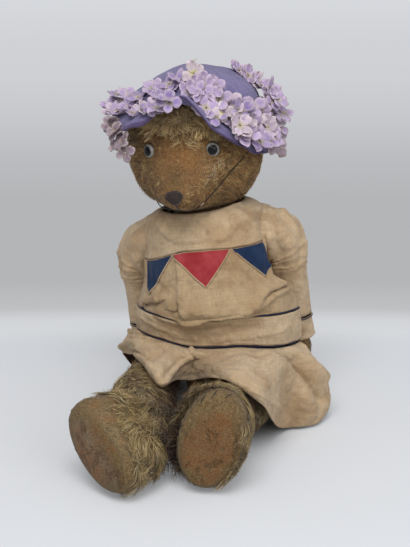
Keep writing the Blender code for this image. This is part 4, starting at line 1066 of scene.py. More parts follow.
def skirt_piece():
    """The skirt, draped over the thighs and spread on the floor."""
    steps = shares(74)
    rows = [[skirt_point(turn, share) for turn in TURNS] for share in steps]
    raised = []
    for r, (share, row) in enumerate(zip(steps, rows)):
        before, after = rows[max(r - 1, 0)], rows[min(r + 1, len(rows) - 1)]
        edges = smooth_step(share * 9.0) * (1.0 - 0.6 * smooth_step((share - 0.9) * 10.0))
        line = []
        for c, point in enumerate(row):
            out = (row[(c + 1) % len(row)] - row[c - 1]).cross(before[c] - after[c])
            out = out.normalized() if out.length > 1e-12 else UP
            lift = fold_lift(SKIRT_FOLDS, degrees_of(TURNS[c]) * SKIRT_DEGREE, share * SKIRT_DROP)
            lift += crumple(point, 0.0014, 42.0) + crumple(point, 0.0009, 120.0, 3.0)
            moved = point + out * lift * edges
            moved.z = max(moved.z, SKIRT_FLOOR)
            line.append(moved)
        raised.append(line)
    skirt = cloth_piece("dress_skirt", raised, CLOTH_WITH_SHADED_INSIDE, "torso", ["skirt"])


PENNANT_RIM = 0.0007
PENNANT_TIP = 0.985
PENNANT_SIDE_TUCK = {"left": math.radians(9.0)}


def pennant_piece(side):
    """A three-cornered cloth patch under the yoke's seam, with its pale turned edge."""
    left, right, tip = (math.radians(corner) for corner in PENNANTS[side])
    finish, slot = (RED, "pennant_red") if side == "middle" else (BLUE, "pennant_blue")
    name = f"pennant_{side}"
    tuck = PENNANT_SIDE_TUCK.get(side, 0.0)

    def spot(across, down, lift):
        top_turn = left + (right - left) * across
        turn = top_turn + (tip - top_turn) * min(down, PENNANT_TIP)
        turn += tuck * math.sin(math.pi * down) * smooth_step(across * 2.0 - 1.0)
        height = seam_height(turn) - 2.0 * CLOTH_GAP - PENNANT_DROP * down
        lift += CLOTH + bodice_fold(turn, height) + PENNANT_LIFT[side] + bodice_crumple(turn, height)
        return lean(dress_upright(turn, height, lift))

    rows = [[spot(across, down, 0.0) for across in shares(36)] for down in shares(34)]
    piece = cloth_piece(name, rows, finish, "torso", [f"{side}_pennant"], slot, PENNANT_THICKNESS,
                        closed=False)
    edges = [[spot(across, down, PENNANT_THICKNESS * 0.3) for down in shares(30)] for across in (0.0, 1.0)]
    cord_piece(f"edge_{side}_pennant", edges, PENNANT_RIM, LINEN, "torso", (), "linen")


def sleeve_point(side, sign, drop, turn, swell=0.0):
    """A point of a sleeve round a section given as in the table."""
    out, back, radius_drop, tilt, radius = drop
    tilt = math.radians(tilt)
    centre = Vector((out + ARM_SPLAY[side] * radius_drop, back, -radius_drop))
    up = Vector((math.sin(tilt), 0.0, math.cos(tilt)))
    reach = radius + swell
    point = centre + up * reach * math.cos(turn) + Vector((0.0, 1.0, 0.0)) * reach * math.sin(turn)
    point.x *= sign
    return SHOULDER[side] @ point


# Sleeves: the shoulder's slope, the fullness of the forearm and cuff, and where the tucks lie
SLEEVE_STEPS = 96
SLEEVE_COLUMNS = 110
SHOULDER_SLOPE = 0.0065
SLEEVE_TOP_GAP = 0.0008
SLEEVE_SWELL = {"left": 0.0, "right": 0.0080}
CUFF_SWELL = {"left": 0.0, "right": 0.0075}
CUFF_EDGE = 0.0005
TUCKS = (0.60, 0.66, 0.72, 0.765)


def sleeve_fold(turn, share, sign):
    """Puckers at the armhole, long folds down the arm and tucks above the cuff."""
    pucker = 0.0019 * math.cos(34.0 * turn + 3.0 * math.sin(2.0 * turn)) * math.exp(-((share / 0.13) ** 2))
    drift = 2.2 * noise.noise(Vector((share * 3.0, sign * 5.0, 0.0)))
    long_fold = 0.0020 * math.sin(4.0 * turn + drift * 2.0)
    long_fold += 0.0016 * math.sin(7.0 * turn - drift * 3.0 + 4.0 * share)
    long_fold *= smooth_step((share - 0.05) * 4.0) * (1.0 - 0.6 * smooth_step((share - 0.55) * 5.0))
    tucks = 0.0
    for at in TUCKS:
        away = share - at - 0.012 * math.sin(turn * 2.0 + at * 40.0)
        tucks += 0.0014 * math.exp(-((away / (0.020 if away < 0.0 else 0.004)) ** 2))
    wrinkle = crumple((math.cos(turn) * 1.6, math.sin(turn) * 1.6, share * 7.0), 0.0010, 1.0, sign * 3.0)
    return pucker + long_fold + tucks + wrinkle


def tube(side, sign, stations, swell_at):
    """Rings of a sleeve or cuff through its stations, wound the same way on both sides."""
    turns = full_turns(SLEEVE_COLUMNS)
    rows = [[sleeve_point(side, sign, station, turn, swell_at(r, turn)) for turn in turns]
            for r, station in enumerate(stations)]
    return rows if sign > 0 else [row[::-1] for row in rows]


CUFF_PIPING_RADIUS = 0.0007


def sleeve_piece(side, sign):
    """A gathered sleeve from armhole to cuff, and the cuff."""
    table = [(i / (len(SLEEVE) - 1.0), *row) for i, row in enumerate(SLEEVE)]
    seam = SLEEVE_END[side] - CUFF_LENGTH
    places, stations = [], []
    for r in range(-2, SLEEVE_STEPS + 1):
        share = max(r, 0) / SLEEVE_STEPS
        station = between(table, share)
        if r < 0:
            station[0] += r * 0.0035
            station[4] -= 0.0004
        if station[2] > seam - 0.0004:
            break
        places.append(share)
        stations.append(station)

    def sleeve_swell(r, turn):
        share = places[r]
        above = max(0.0, math.cos(turn))
        swell = sleeve_fold(turn, share, sign) * smooth_step((1.0 - share) * 8.0)
        swell -= SHOULDER_SLOPE * above ** 1.5 * math.exp(-(((share - 0.22) / 0.14) ** 2))
        swell -= SLEEVE_TOP_GAP * (1.0 - smooth_step(share / 0.16))
        return swell + SLEEVE_SWELL[side] * above * smooth_step((share - 0.32) / 0.4)

    sleeve = cloth_piece(f"sleeve_{side}", tube(side, sign, stations, sleeve_swell), SLEEVE_CLOTH_WITH_SHADED_INSIDE,
                         f"{side}_arm", [f"{side}_sleeve"])

    last_out, last_back, last_drop, last_tilt, _ = SLEEVE[-1]
    drops = [seam + CUFF_LENGTH * share for share in shares(16)]
    stations = [(last_out, last_back * drop / last_drop, drop, last_tilt, CUFF_RADIUS) for drop in drops]

    def cuff_swell(r, turn):
        swell = crumple((math.cos(turn) * 2.0, math.sin(turn) * 2.0, drops[r] * 60.0), 0.0009, 1.0, 5.0)
        swell += CUFF_EDGE * (smooth_step(r - 14.0) + smooth_step(2.0 - r))
        return swell + CUFF_SWELL[side] * max(0.0, math.cos(turn))

    rows = tube(side, sign, stations, cuff_swell)
    ring = [point.lerp(other, 0.5) for point, other in zip(rows[0], rows[1])]
    hub = sum(ring, Vector()) / len(ring)
    ring = [point + (point - hub).normalized() * CLOTH for point in ring]
    cord_piece(f"cuff_piping_{side}", [ring], CUFF_PIPING_RADIUS, NAVY, f"{side}_arm", (), "navy_piping",
               closed=True)
    cuff = cloth_piece(f"cuff_{side}", rows, SLEEVE_CLOTH_WITH_SHADED_INSIDE, f"{side}_arm", [f"{side}_cuff"])


def dashes(point_at, start, end, count, share=0.55):
    """Short lengths of thread along a line given by a function."""
    paths = []
    for i in range(count):
        low = start + (end - start) * i / count
        high = low + (end - start) / count * share
        paths.append([point_at(low + (high - low) * k / 3.0) for k in range(4)])
    return paths


STITCH_RADIUS = 0.00022
STITCH_GAP = 0.0001
STITCHED = math.radians(80.0)
BUTTONHOLE_LIFT = 0.0004
LOOP_RADIUS = 0.00045


def stitching():
    """Rows of stitches on the dress, a buttonhole and a loose thread loop at the belt."""
    def yoke_line(turn):
        height = seam_height(turn) + 0.0022
        lift = CLOTH + SEAM_BAND + STITCH_GAP + yoke_crumple(turn, height)
        lift += fold_lift(YOKE_FOLDS, degrees_of(turn) * DEGREE, height)
        return lean(dress_upright(turn, height, lift))

    paths = dashes(yoke_line, math.radians(-64.0), math.radians(72.0), 60)
    for share in (0.07, 0.93):
        paths += dashes(lambda turn: belt_point(turn, share, CLOTH * 1.35), -STITCHED, STITCHED, 80)
    cord_piece("seam_stitches", paths, STITCH_RADIUS, PALE_THREAD, "torso", sides=5)

    hole = []
    for share in shares(6):
        turn, height = math.radians(-47.0 + 4.5 * share), 0.1350 + 0.0006 * share
        hole.append(lean(dress_upright(turn, height, CLOTH + bodice_fold(turn, height) + BUTTONHOLE_LIFT)))
    loop = []
    for share in shares(14):
        round_it = math.tau * share * 0.92
        across, down = math.sin(round_it), 1.0 - math.cos(round_it)
        turn, height = math.radians(-66.0) + 0.045 * across, 0.0865 - 0.0042 * down
        loop.append(lean(dress_upright(turn, height, 0.0034 + 0.0008 * across)))
    cord_piece("belt_loop", [loop, hole], LOOP_RADIUS, WOOL, "torso")


# Mohair pile

def surface_arrays(piece):
    """A piece's points, its triangles, and their areas and normals."""
    mesh = piece.data
    mesh.calc_loop_triangles()
    points = np.empty(len(mesh.vertices) * 3, dtype=np.float32)
    mesh.vertices.foreach_get("co", points)
    points = points.reshape(-1, 3).astype(float)
    corners = np.empty(len(mesh.loop_triangles) * 3, dtype=np.int32)
    mesh.loop_triangles.foreach_get("vertices", corners)
    triangles = points[corners.reshape(-1, 3)]
    across = np.cross(triangles[:, 1] - triangles[:, 0], triangles[:, 2] - triangles[:, 0])
    if np.sum(triangles.mean(axis=1) * across) < 0.0:
        across = -across
    size = np.linalg.norm(across, axis=1)
    return triangles, size, across / np.maximum(size, 1e-15)[:, None]


def unit(vectors):
    """Vectors of length 1."""
    return vectors / np.maximum(np.linalg.norm(vectors, axis=1), 1e-12)[:, None]


def eased(values, low, high):
    """Arrays eased from 0 to 1 between two values."""
    share = np.clip((values - low) / (high - low), 0.0, 1.0)
    return share * share * (3.0 - 2.0 * share)


def swirl(points, scale, seed):
    """Slowly changing directions over a surface."""
    offset = seed * 7.3
    return np.stack([np.sin(points @ np.array(row) * scale + offset + i * 2.1)
                     for i, row in enumerate(((1.0, 0.6, 1.7), (1.3, 1.1, 0.9), (-0.8, 1.5, 1.2)))], axis=1)


def pile(name, piece, body, count, weight, length, flow, tint, stand=0.5, curl=0.10, turns=1.2, droop=0.12,
         clump=0.6, levels=5, width=0.00032, seed=1, keep=None, tuft=22):
    """Fibres on a piece. weight, flow and tint are functions of places on it, length and stand may be."""
    chance = np.random.default_rng(seed)
    triangles, size, facing = surface_arrays(piece)
    load = size * weight(triangles.mean(axis=1), facing)
    picked = chance.choice(len(size), size=count, p=load / load.sum())
    u, v = chance.random((2, count))
    over_edge = u + v > 1.0
    u[over_edge], v[over_edge] = 1.0 - u[over_edge], 1.0 - v[over_edge]
    a, b, c = (triangles[picked, i] for i in range(3))
    spots = a + (b - a) * u[:, None] + (c - a) * v[:, None]
    normals = facing[picked]
    reach = (length(spots) if callable(length) else length) * chance.uniform(0.6, 1.25, count)
    along = flow(spots, normals) + chance.normal(0.0, 0.38, spots.shape)
    along = unit(along - normals * np.sum(along * normals, axis=1)[:, None])
    side = np.cross(normals, along)
    phase = chance.uniform(0.0, math.tau, count)
    spin = turns * math.tau * chance.uniform(0.6, 1.4, count)
    rise = (stand(spots, normals) if callable(stand) else stand) * chance.uniform(0.7, 1.3, count)
    steps = [level / (levels - 1.0) for level in range(levels)]
    rows = []
    for t in steps:
        turned = phase + spin * t
        point = spots + (reach * t * (0.6 + 0.4 * t))[:, None] * along
        point += normals * (reach * rise * t * (1.35 - 0.75 * t))[:, None]
        point += (curl * t * reach)[:, None] * (side * np.cos(turned)[:, None]
                                                + normals * np.sin(turned)[:, None] * 0.6)
        point[:, 2] -= droop * reach * t * t
        rows.append(point)
    guides = chance.choice(count, max(count // tuft, 1), replace=False)
    tree = KDTree(len(guides))
    for index, guide in enumerate(guides):
        tree.insert(spots[guide], index)
    tree.balance()
    owner = guides[[tree.find(spot)[1] for spot in spots]]
    for t, row in zip(steps, rows):
        joined = row[owner] + (spots - spots[owner]) * (1.0 - t) * 0.5
        row += (joined - row) * clump * t ** 1.2
    shown = tint(spots, chance)
    shown = shown * 0.6 + shown[owner] * 0.4
    if keep is not None:
        kept = np.all([keep(row) for row in rows], axis=0)
        rows, normals, shown = [row[kept] for row in rows], normals[kept], shown[kept]
    strand_piece(name, rows, normals, shown, width, body, chance)


def strand_piece(name, rows, normals, tints, width, body, chance):
    """Ribbons along rows of strand points, painted dark at the root as shade within the pile and light at the
    tip.
    """
    levels, count = len(rows), len(normals)
    lean_over = chance.uniform(-0.9, 0.9, count)[:, None]
    corners = np.empty((count, levels, 2, 3))
    colours = np.empty((count, levels, 2, 3))
    for level, row in enumerate(rows):
        t = level / (levels - 1.0)
        ahead = unit(rows[min(level + 1, levels - 1)] - rows[max(level - 1, 0)])
        broad = unit(np.cross(ahead, normals))
        broad = unit(broad * np.cos(lean_over) + np.cross(broad, ahead) * np.sin(lean_over))
        half = width * 0.5 * (1.0 - 0.72 * t)
        corners[:, level, 0] = row - broad * half
        corners[:, level, 1] = row + broad * half
        # Painted shade: each strand darker towards its root, lighter towards its tip
        colours[:, level, :] = (tints * (0.42 + 0.66 * t ** 0.8))[:, None, :]
    first = np.arange(count, dtype=np.int64)[:, None] * levels * 2 + np.arange(levels - 1)[None, :] * 2
    first = first.reshape(-1)
    faces = np.stack([first, first + 1, first + 3, first + 2], axis=1)
    mesh = array_mesh(name, corners.reshape(-1, 3), faces)
    paint(mesh, "tint", colours.reshape(-1, 3))
    place(name, mesh, PILE, body, (), "mohair")


def blended(base, *others):
    """A tint function: a base colour with shares of other colours, strand by strand."""
    def tint(spots, chance):
        colours = np.tile(tone(*base)[:3], (len(spots), 1))
        pick = chance.random(len(spots))
        start = 0.0
        for share, *other in others:
            colours[(pick >= start) & (pick < start + share)] = tone(*other)[:3]
            start += share
        return colours * chance.uniform(0.64, 1.38, len(spots))[:, None]
    return tint


def over(base, colour, share):
    """Colours with shares of another laid over them."""
    return base * (1.0 - share[:, None]) + np.array(colour[:3]) * share[:, None]


HAT_INVERSE = np.array(HAT.inverted())
NECK_INVERSE = np.array(NECK.inverted())
UNROLL = np.array(Matrix.Rotation(-HEAD_ROLL, 3, "Y"))


def head_local(points):
    """World points in the upright head, from its centre."""
    local = points @ NECK_INVERSE[:3, :3].T + NECK_INVERSE[:3, 3] - np.array(HEAD_CENTRE)
    return local @ UNROLL.T


def head_aims(points):
    """Directions of world points from the head's centre, with the head made round."""
    return unit(head_local(points) / np.array(HEAD_HALF))


def near_aim(aims, centre, width):
    """1 at a direction, falling to 0 away from it."""
    away = np.arccos(np.clip(aims @ np.array(Vector(centre).normalized()), -1.0, 1.0))
    return np.exp(-((away / width) ** 2))


HAT_ROOM = 0.0012
BRIM_ROOM = 0.002


def clear_of_hat(points):
    """Whether points lie under the brim or crown, or beyond the brim."""
    local = points @ HAT_INVERSE[:3, :3].T + HAT_INVERSE[:3, 3]
    reach = np.hypot(local[:, 0], local[:, 1])
    raised = notch_share(np.arctan2(local[:, 0], -local[:, 1]))
    edge, edge_height = brim_edge(raised)
    foot, foot_height = crown_foot(raised)
    along = np.clip((edge - reach) / (edge - foot), 0.0, 1.0)
    under = edge_height + (foot_height - edge_height) * along + 0.5 * HAT_CLOTH
    return (local[:, 2] < under - HAT_ROOM) | (reach > edge + BRIM_ROOM)


def face_spot(aim):
    """Where a direction meets the face, in the world."""
    return np.array(NECK @ head_point(Vector(aim), 0.0))


EYE_SPOTS = [face_spot((EYE_AIM.x * sign, EYE_AIM.y, EYE_AIM.z)) for _, sign in SIDES]
NOSE_SPOT = face_spot(NOSE_AIM)
FOREHEAD_SPOT = face_spot((0.10, -0.72, 0.62))
NOSE_ROOM = 0.0088
COLLAR_ROOM = 0.0060
FACE_DOWN = np.array([0.0, -0.25, -1.0])
MUZZLE_TOP = (0.0, -0.95, -0.12)
PALE_CHEEK = [(0.52, -0.78, -0.22), (0.40, -0.84, -0.30), (0.46, -0.82, -0.16)]
TINY = 1e-9


def above_collar(points):
    """Whether points lie above the collar."""
    return points[:, 2] > NECK.translation.z + COLLAR_ROOM


def clear_of_face(points):
    """Whether points lie clear of the eyes, the nose, the hat and the collar."""
    clear = clear_of_hat(points) & above_collar(points)
    for spot in EYE_SPOTS:
        clear &= np.linalg.norm(points - spot, axis=1) > EYE_RADIUS * 1.02
    return clear & (np.linalg.norm(points - NOSE_SPOT, axis=1) > NOSE_ROOM)


def eye_room(points, radius):
    """0 at the eyes, 1 away from them."""
    room = np.ones(len(points))
    for spot in EYE_SPOTS:
        room *= eased(np.linalg.norm(points - spot, axis=1), radius * 0.85, radius * 1.15)
    return room


def long_share(aims):
    """1 on the forehead, where the hair is long, along an uneven line with a parting."""
    wander = 0.10 * swirl(aims, 9.0, 2.0)[:, 0] + 0.05 * swirl(aims, 30.0, 5.0)[:, 1]
    parting = 0.07 * near_aim(aims, (0.0, -0.90, 0.36), 0.25)
    return eased(aims[:, 2] + wander - parting, 0.20, 0.62) * eased(-aims[:, 1], -0.15, 0.25)


def forehead_fur(head):
    """Long curly hair on the forehead."""
    def weight(points, normals):
        return long_share(head_aims(points)) * eye_room(points, 0.0105) * clear_of_hat(points) + TINY

    def length(points):
        return 0.0065 + 0.0105 * eased(head_aims(points)[:, 2], 0.26, 0.58)

    def flow(points, normals):
        away = points - FOREHEAD_SPOT
        sideways = np.clip(away[:, :1] / 0.030, -1.0, 1.0) * np.array([1.0, 0.0, 0.0])
        return unit(away) * 0.55 + sideways * 0.45 + FACE_DOWN * 0.05 + swirl(points, 150.0, 1.0) * 1.15

    mixed = blended((206, 170, 110), (0.30, 244, 218, 162), (0.26, 128, 94, 54), (0.08, 250, 232, 192))

    def tint(points, chance):
        aims = head_aims(points)
        dark = eased(-aims[:, 2], -0.46, -0.24)[:, None]
        temple = eased(np.abs(aims[:, 0]), 0.42, 0.75)[:, None]
        colours = mixed(points, chance) * (1.0 - 0.35 * dark) + np.array(tone(96, 58, 28)[:3]) * 0.30 * dark
        return colours * (1.0 - 0.35 * temple)

    pile("fur_forehead", head, "head", 8000, weight, length, flow, tint, stand=0.50, curl=0.15, turns=1.0,
         droop=0.03, clump=0.55, levels=7, width=0.00072, seed=11, keep=clear_of_face, tuft=9)


def face_fur(head):
    """Worn fuzz on the face and cheeks."""
    def weight(points, normals):
        aims = head_aims(points)
        cover = (1.0 - long_share(aims)) * eased(-aims[:, 1], -0.3, 0.0)
        cover *= 1.0 - 0.45 * near_aim(aims, MUZZLE_TOP, 0.42)
        return cover * clear_of_face(points - np.array([0.0, 0.0, 0.003])) * eye_room(points, 0.0085) + TINY

    def length(points):
        aims = head_aims(points)
        worn = near_aim(aims, MUZZLE_TOP, 0.50)
        return 0.0072 - 0.0050 * worn + 0.0016 * eased(np.abs(aims[:, 0]), 0.5, 0.9)

    def flow(points, normals):
        return unit(points - NOSE_SPOT) * 0.8 + FACE_DOWN * 0.35 + swirl(points, 200.0, 4.0) * 0.35

    mixed = blended((166, 128, 76), (0.20, 214, 180, 120), (0.26, 98, 72, 42), (0.18, 168, 110, 58))

    def tint(points, chance):
        aims = head_aims(points)
        orange, nose_top = near_aim(aims, (0.0, -0.97, 0.02), 0.30), near_aim(aims, (0.0, -0.97, -0.20), 0.13)
        colours = over(mixed(points, chance), tone(156, 106, 58), 0.5 * orange)
        colours = over(colours, tone(84, 72, 44), 0.8 * nose_top)
        # Painted shade: the fur darker towards the chin and under the face
        return colours * (1.0 - 0.25 * eased(-aims[:, 2], 0.35, 0.75)[:, None])

    pile("fur_face", head, "head", 15000, weight, length, flow, tint, stand=0.30, curl=0.10, turns=0.7,
         droop=0.04, clump=0.40, levels=4, width=0.00050, seed=12, keep=clear_of_face, tuft=8)


def back_fur(head):
    """Even pile on the back of the head."""
    def weight(points, normals):
        behind = eased(head_aims(points)[:, 1], -0.28, 0.10)
        return behind * clear_of_hat(points) * above_collar(points) + TINY

    def flow(points, normals):
        return FACE_DOWN * 0.8 + swirl(points, 200.0, 6.0) * 0.45

    tint = blended((160, 128, 78), (0.20, 206, 176, 118), (0.28, 104, 78, 46))
    pile("fur_head_back", head, "head", 9500, weight, 0.0090, flow, tint, stand=0.32, curl=0.12, turns=1.0,
         clump=0.5, levels=4, width=0.00060, seed=13, keep=clear_of_face)


def cheek_fur(head):
    """A few pale strands on a cheek."""
    def weight(points, normals):
        return sum(near_aim(head_aims(points), centre, 0.10) for centre in PALE_CHEEK) + TINY

    def flow(points, normals):
        return np.array([0.35, 0.0, 0.9]) + swirl(points, 200.0, 2.0) * 0.3

    tint = blended((206, 184, 140), (0.4, 226, 208, 170))
    pile("fur_pale_cheek", head, "head", 90, weight, 0.0085, flow, tint, stand=0.25, curl=0.10, clump=0.5,
         levels=6, width=0.00034, seed=14, keep=clear_of_face)


# The lap's edge under the skirt: x and y
LAP = np.array([
    (-0.104, -0.018), (-0.090, -0.036), (-0.078, -0.062), (-0.054, -0.103), (-0.026, -0.143),
    (-0.022, -0.102), (-0.012, -0.081), (0.003, -0.092), (0.022, -0.120), (0.046, -0.146),
    (0.072, -0.140), (0.0765, -0.108), (0.077, -0.072),
]).T
# Where the right foot's pile ends: up the foot, and out of it
WORN = np.array([(-0.039, -0.002), (-0.024, -0.001), (-0.002, -0.005), (0.023, -0.017), (0.034, -0.026)]).T
FLOOR_ROOM = 0.0008
# The legs' pile: how much is worn off, length, number of strands, seed
LEG_PILE = {"right": (0.82, 0.0125, 13500, 22), "left": (0.62, 0.0110, 12500, 21)}


def above_floor(points):
    """Whether points lie above the floor."""
    return points[:, 2] > FLOOR_ROOM


def foot_shares(side, points):
    """How far points lie across a foot, up it and out of it."""
    offset = points - np.array(FOOT_CENTRE[side])
    return [offset @ np.array(axis) for axis in foot_frame(side)]


def leg_fur(side, sign, leg):
    """Long matted pile on the legs, worn short at the toes, none on the soles."""
    out = np.array(foot_frame(side)[2])
    centre = np.array(FOOT_CENTRE[side])
    worn_off, shaggy, count, seed = LEG_PILE[side]

    def bare(points):
        """1 on the toes and beside the sole, where the pile has worn off."""
        wide, high, deep = foot_shares(side, points)
        if side == "left":
            toe = eased(high, 0.020, 0.034) * eased(deep, -0.016, -0.004)
            edge = eased(deep, -0.020, -0.008) * eased(-wide - 0.4 * high, -0.010, 0.008)
            return np.maximum(toe, edge)
        limit = np.interp(high, *WORN)
        return eased(deep + 0.002 * swirl(points, 300.0, 5.0)[:, 0], limit - 0.002, limit + 0.003)

    def weight(points, normals):
        hem = np.interp(points[:, 0], *LAP)
        shown = 1.0 - eased(points[:, 1], -0.085, -0.060)
        shown *= 1.0 - eased(normals[:, 2], -0.1, 0.2) * eased(points[:, 1], hem - 0.010, hem - 0.002)
        shown *= 1.0 - eased(normals @ out, 0.88, 0.96)
        shown *= 1.0 - 0.75 * eased(-normals[:, 2], 0.5, 0.9)
        shown *= 1.0 - worn_off * bare(points)
        inner = eased(-sign * normals[:, 0], 0.1, 0.6) * eased(points[:, 1], -0.205, -0.180)
        return shown * (1.0 + 0.9 * inner) + TINY

    def length(points):
        toward = eased(-sign * (points[:, 0] - (centre[0] - 0.004 * sign)), 0.004, 0.016)
        toward *= eased(points[:, 1], -0.215, -0.190)
        return (shaggy + 0.0035 * toward) * (1.0 - 0.80 * bare(points))

    def stand(points, normals):
        return 0.36 + 0.55 * eased(-sign * normals[:, 0], 0.2, 0.6) * eased(points[:, 1], -0.200, -0.170)

    def flow(points, normals):
        return np.array([0.10 * sign, -0.70, -0.15]) + swirl(points, 110.0, 3.0 + sign) * 0.95

    mixed = blended((164, 138, 88), (0.22, 206, 182, 130), (0.24, 112, 90, 52), (0.06, 226, 210, 168))
    greyed = blended((132, 112, 78), (0.35, 96, 76, 50), (0.15, 166, 150, 116))

    def tint(points, chance):
        worn = bare(points)[:, None]
        patches = (0.5 + 0.5 * swirl(points, 90.0, 9.0)[:, :1]) * 0.16
        shown = (mixed(points, chance) * (1.0 - worn) + greyed(points, chance) * worn) * (1.0 - patches)
        # Painted shade: the inner side of each leg, under the skirt, darker and redder
        inside = eased(-sign * (points[:, 0] - centre[0] * 0.72), 0.0, 0.012)
        inside *= eased(points[:, 1], -0.185, -0.150)
        return shown * (1.0 - inside[:, None] * np.array([0.62, 0.72, 0.74]))

    pile(f"fur_leg_{side}", leg, f"{side}_leg", count, weight, length, flow, tint, stand=stand, curl=0.10,
         turns=1.1, droop=0.06, clump=0.48, levels=5, width=0.00060, tuft=9, seed=seed, keep=above_floor)


def thigh_fur_painted_shade(side, sign, leg):
    """Long pile between the thighs, under the skirt, coloured dark as painted shade."""
    def weight(points, normals):
        shown = eased(-sign * normals[:, 0], 0.15, 0.5) * (normals[:, 2] > -0.6) * (points[:, 2] < 0.062)
        shown *= eased(points[:, 1], -0.198, -0.178)
        return shown * (1.0 - eased(points[:, 1], -0.100, -0.085)) + TINY

    def flow(points, normals):
        return np.array([0.0, -0.25, -0.1]) + swirl(points, 150.0, sign) * 0.5

    # Dark browns: painted shade between the thighs under the skirt
    tint = blended((72, 48, 32), (0.25, 98, 70, 44), (0.35, 40, 24, 16))
    pile(f"fur_thigh_painted_shade_{side}", leg, f"{side}_leg", 2600, weight, 0.0150, flow, tint, stand=0.95, curl=0.12,
         clump=0.25, levels=4, width=0.0011, seed=41 if sign > 0 else 42, keep=above_floor)


def arm_fur(side, sign, arm):
    """Short worn pile on the paws that show below the cuffs."""
    cuff_end = (SHOULDER[side] @ (UP * (-SLEEVE_END[side] - 0.001))).z

    def below_cuff(points):
        return points[:, 2] < cuff_end

    def weight(points, normals):
        return below_cuff(points) + TINY

    def flow(points, normals):
        return FACE_DOWN + swirl(points, 200.0, sign) * 0.4

    tint = blended((150, 120, 74), (0.2, 190, 160, 108), (0.3, 100, 78, 46))
    pile(f"fur_arm_{side}", arm, f"{side}_arm", 1300, weight, 0.0048, flow, tint, stand=0.35, curl=0.12,
         clump=0.5, levels=4, width=0.00036, seed=31 if sign > 0 else 32, keep=below_cuff)


# The bear

def closed_piece(name, rows, finish, body, nodes, slot="mohair", colour_at=None, flips=(False, True)):
    """A closed skin through rings of points, painted if a painting function is given."""
    caps = ((0, flips[0]), (len(rows) - 1, flips[1]))
    piece = place(name, grid_mesh(name, rows, caps=caps), finish, body, nodes, slot)
    if colour_at:
        points = np.empty(len(piece.data.vertices) * 3, dtype=np.float32)
        piece.data.vertices.foreach_get("co", points)
        paint(piece.data, "tint", colour_at(points.reshape(-1, 3)))
    return piece


def ball_rows(rings, columns, point_at):
    """Rings of a round form: point_at is given the angle from its pole and the turn about it."""
    return [[point_at(math.pi * r / rings, turn) for turn in full_turns(columns)] for r in range(1, rings)]


def ball_point(polar, turn):
    """A point of a ball of radius 1."""
    return Vector((math.sin(polar) * math.cos(turn), math.sin(polar) * math.sin(turn), math.cos(polar)))


def same(red, green, blue):
    """A painting function of one colour."""
    return lambda points: np.tile(tone(red, green, blue)[:3], (len(points), 1))


def torso_piece():
    """The stuffed torso, flat where limbs lie on it."""
    rows = []
    for share in shares(36):
        height = TORSO[-1][0] * share
        width, depth, centre_y = between(TORSO, height)
        row = []
        for turn in full_turns(48):
            point = Vector((width * math.cos(turn), centre_y + depth * math.sin(turn), height))
            if from_shoulder(point) < SHOULDER_SEAT_RADIUS:
                point.x = max(-SHOULDER_FACE, min(SHOULDER_FACE, point.x))
            point = lean(point)
            if math.hypot(point.y - HIP_Y, point.z - HIP_HEIGHT) < HIP_SEAT_RADIUS:
                point.x = max(-HIP_FACE, min(HIP_FACE, point.x))
            row.append(point)
        rows.append(row)
    piece = closed_piece("bear_torso", rows, BACKING, "torso", ["torso"], colour_at=same(126, 94, 58),
                         flips=(True, False))


def dimple(aim, centre, width):
    """1 in the middle of a round patch of the head, 0 away from it."""
    return math.exp(-((aim.angle(centre) / width) ** 2))


# Eye sockets, the brow above them and the crease between them: depth or height, and width
SOCKET = (0.0030, 0.14)
BROW = (0.0012, 0.22)
CREASE = (0.0006, 0.018)


def head_surface(aim):
    """The head's skin with its eye sockets and brow, in the world."""
    aim = aim.normalized()
    lift = 0.0007 * noise.noise(aim * 5.0)
    for _, sign in SIDES:
        eye = Vector((EYE_AIM.x * sign, EYE_AIM.y, EYE_AIM.z)).normalized()
        lift -= SOCKET[0] * dimple(aim, eye, SOCKET[1])
        lift += BROW[0] * dimple(aim, (eye + UP * 0.30).normalized(), BROW[1])
    if aim.y < 0.0 and aim.z > NOSE_AIM.z - 0.3:
        lift -= CREASE[0] * math.exp(-((aim.x / CREASE[1]) ** 2))
    point = head_point(aim, lift)
    point.z = max(point.z, GAP)
    return NECK @ point


# Stains of the head: colour, direction, width and strength
STAINS = [
    ((150, 98, 50), (0.0, -0.95, 0.02), 0.34, 0.85),
    ((104, 76, 46), (0.0, -0.9, 0.32), 0.30, 0.7),
    ((78, 64, 40), (0.0, -0.97, -0.20), 0.15, 0.9),
    ((128, 92, 60), (0.20, -0.93, -0.28), 0.20, 0.6),
    ((86, 70, 44), (-0.35, -0.85, -0.25), 0.22, 0.5),
    ((96, 74, 46), (0.30, -0.70, -0.62), 0.25, 0.5),
    ((84, 62, 40), tuple(EYE_AIM), 0.20, 0.6),
    ((84, 62, 40), (-EYE_AIM.x, EYE_AIM.y, EYE_AIM.z), 0.20, 0.6),
]


def head_piece():
    """The stuffed head, stained round the eyes and on the muzzle."""
    def point_at(polar, turn):
        x, y, z = ball_point(polar, turn)
        return head_surface(Vector((y, -x, z)))

    def colour_at(points):
        aims = head_aims(points)
        base = same(134, 102, 62)(points)
        for colour, centre, width, strength in STAINS:
            base = over(base, tone(*colour), strength * near_aim(aims, centre, width))
        return base

    rows = ball_rows(72, 112, point_at)
    piece = closed_piece("bear_head", rows, BACKING, "head", ["head"], colour_at=colour_at)
    return piece


def set_in_matrix(aim, sink):
    """Where a piece let into the head sits: its -Y looks out along the aim."""
    turn = aim.to_track_quat("-Y", "Z").to_matrix().to_4x4()
    return NECK @ Matrix.Translation(head_point(aim, -sink)) @ turn


PUPIL = {"left": (-0.20, -0.10), "right": (0.0, -0.05)}
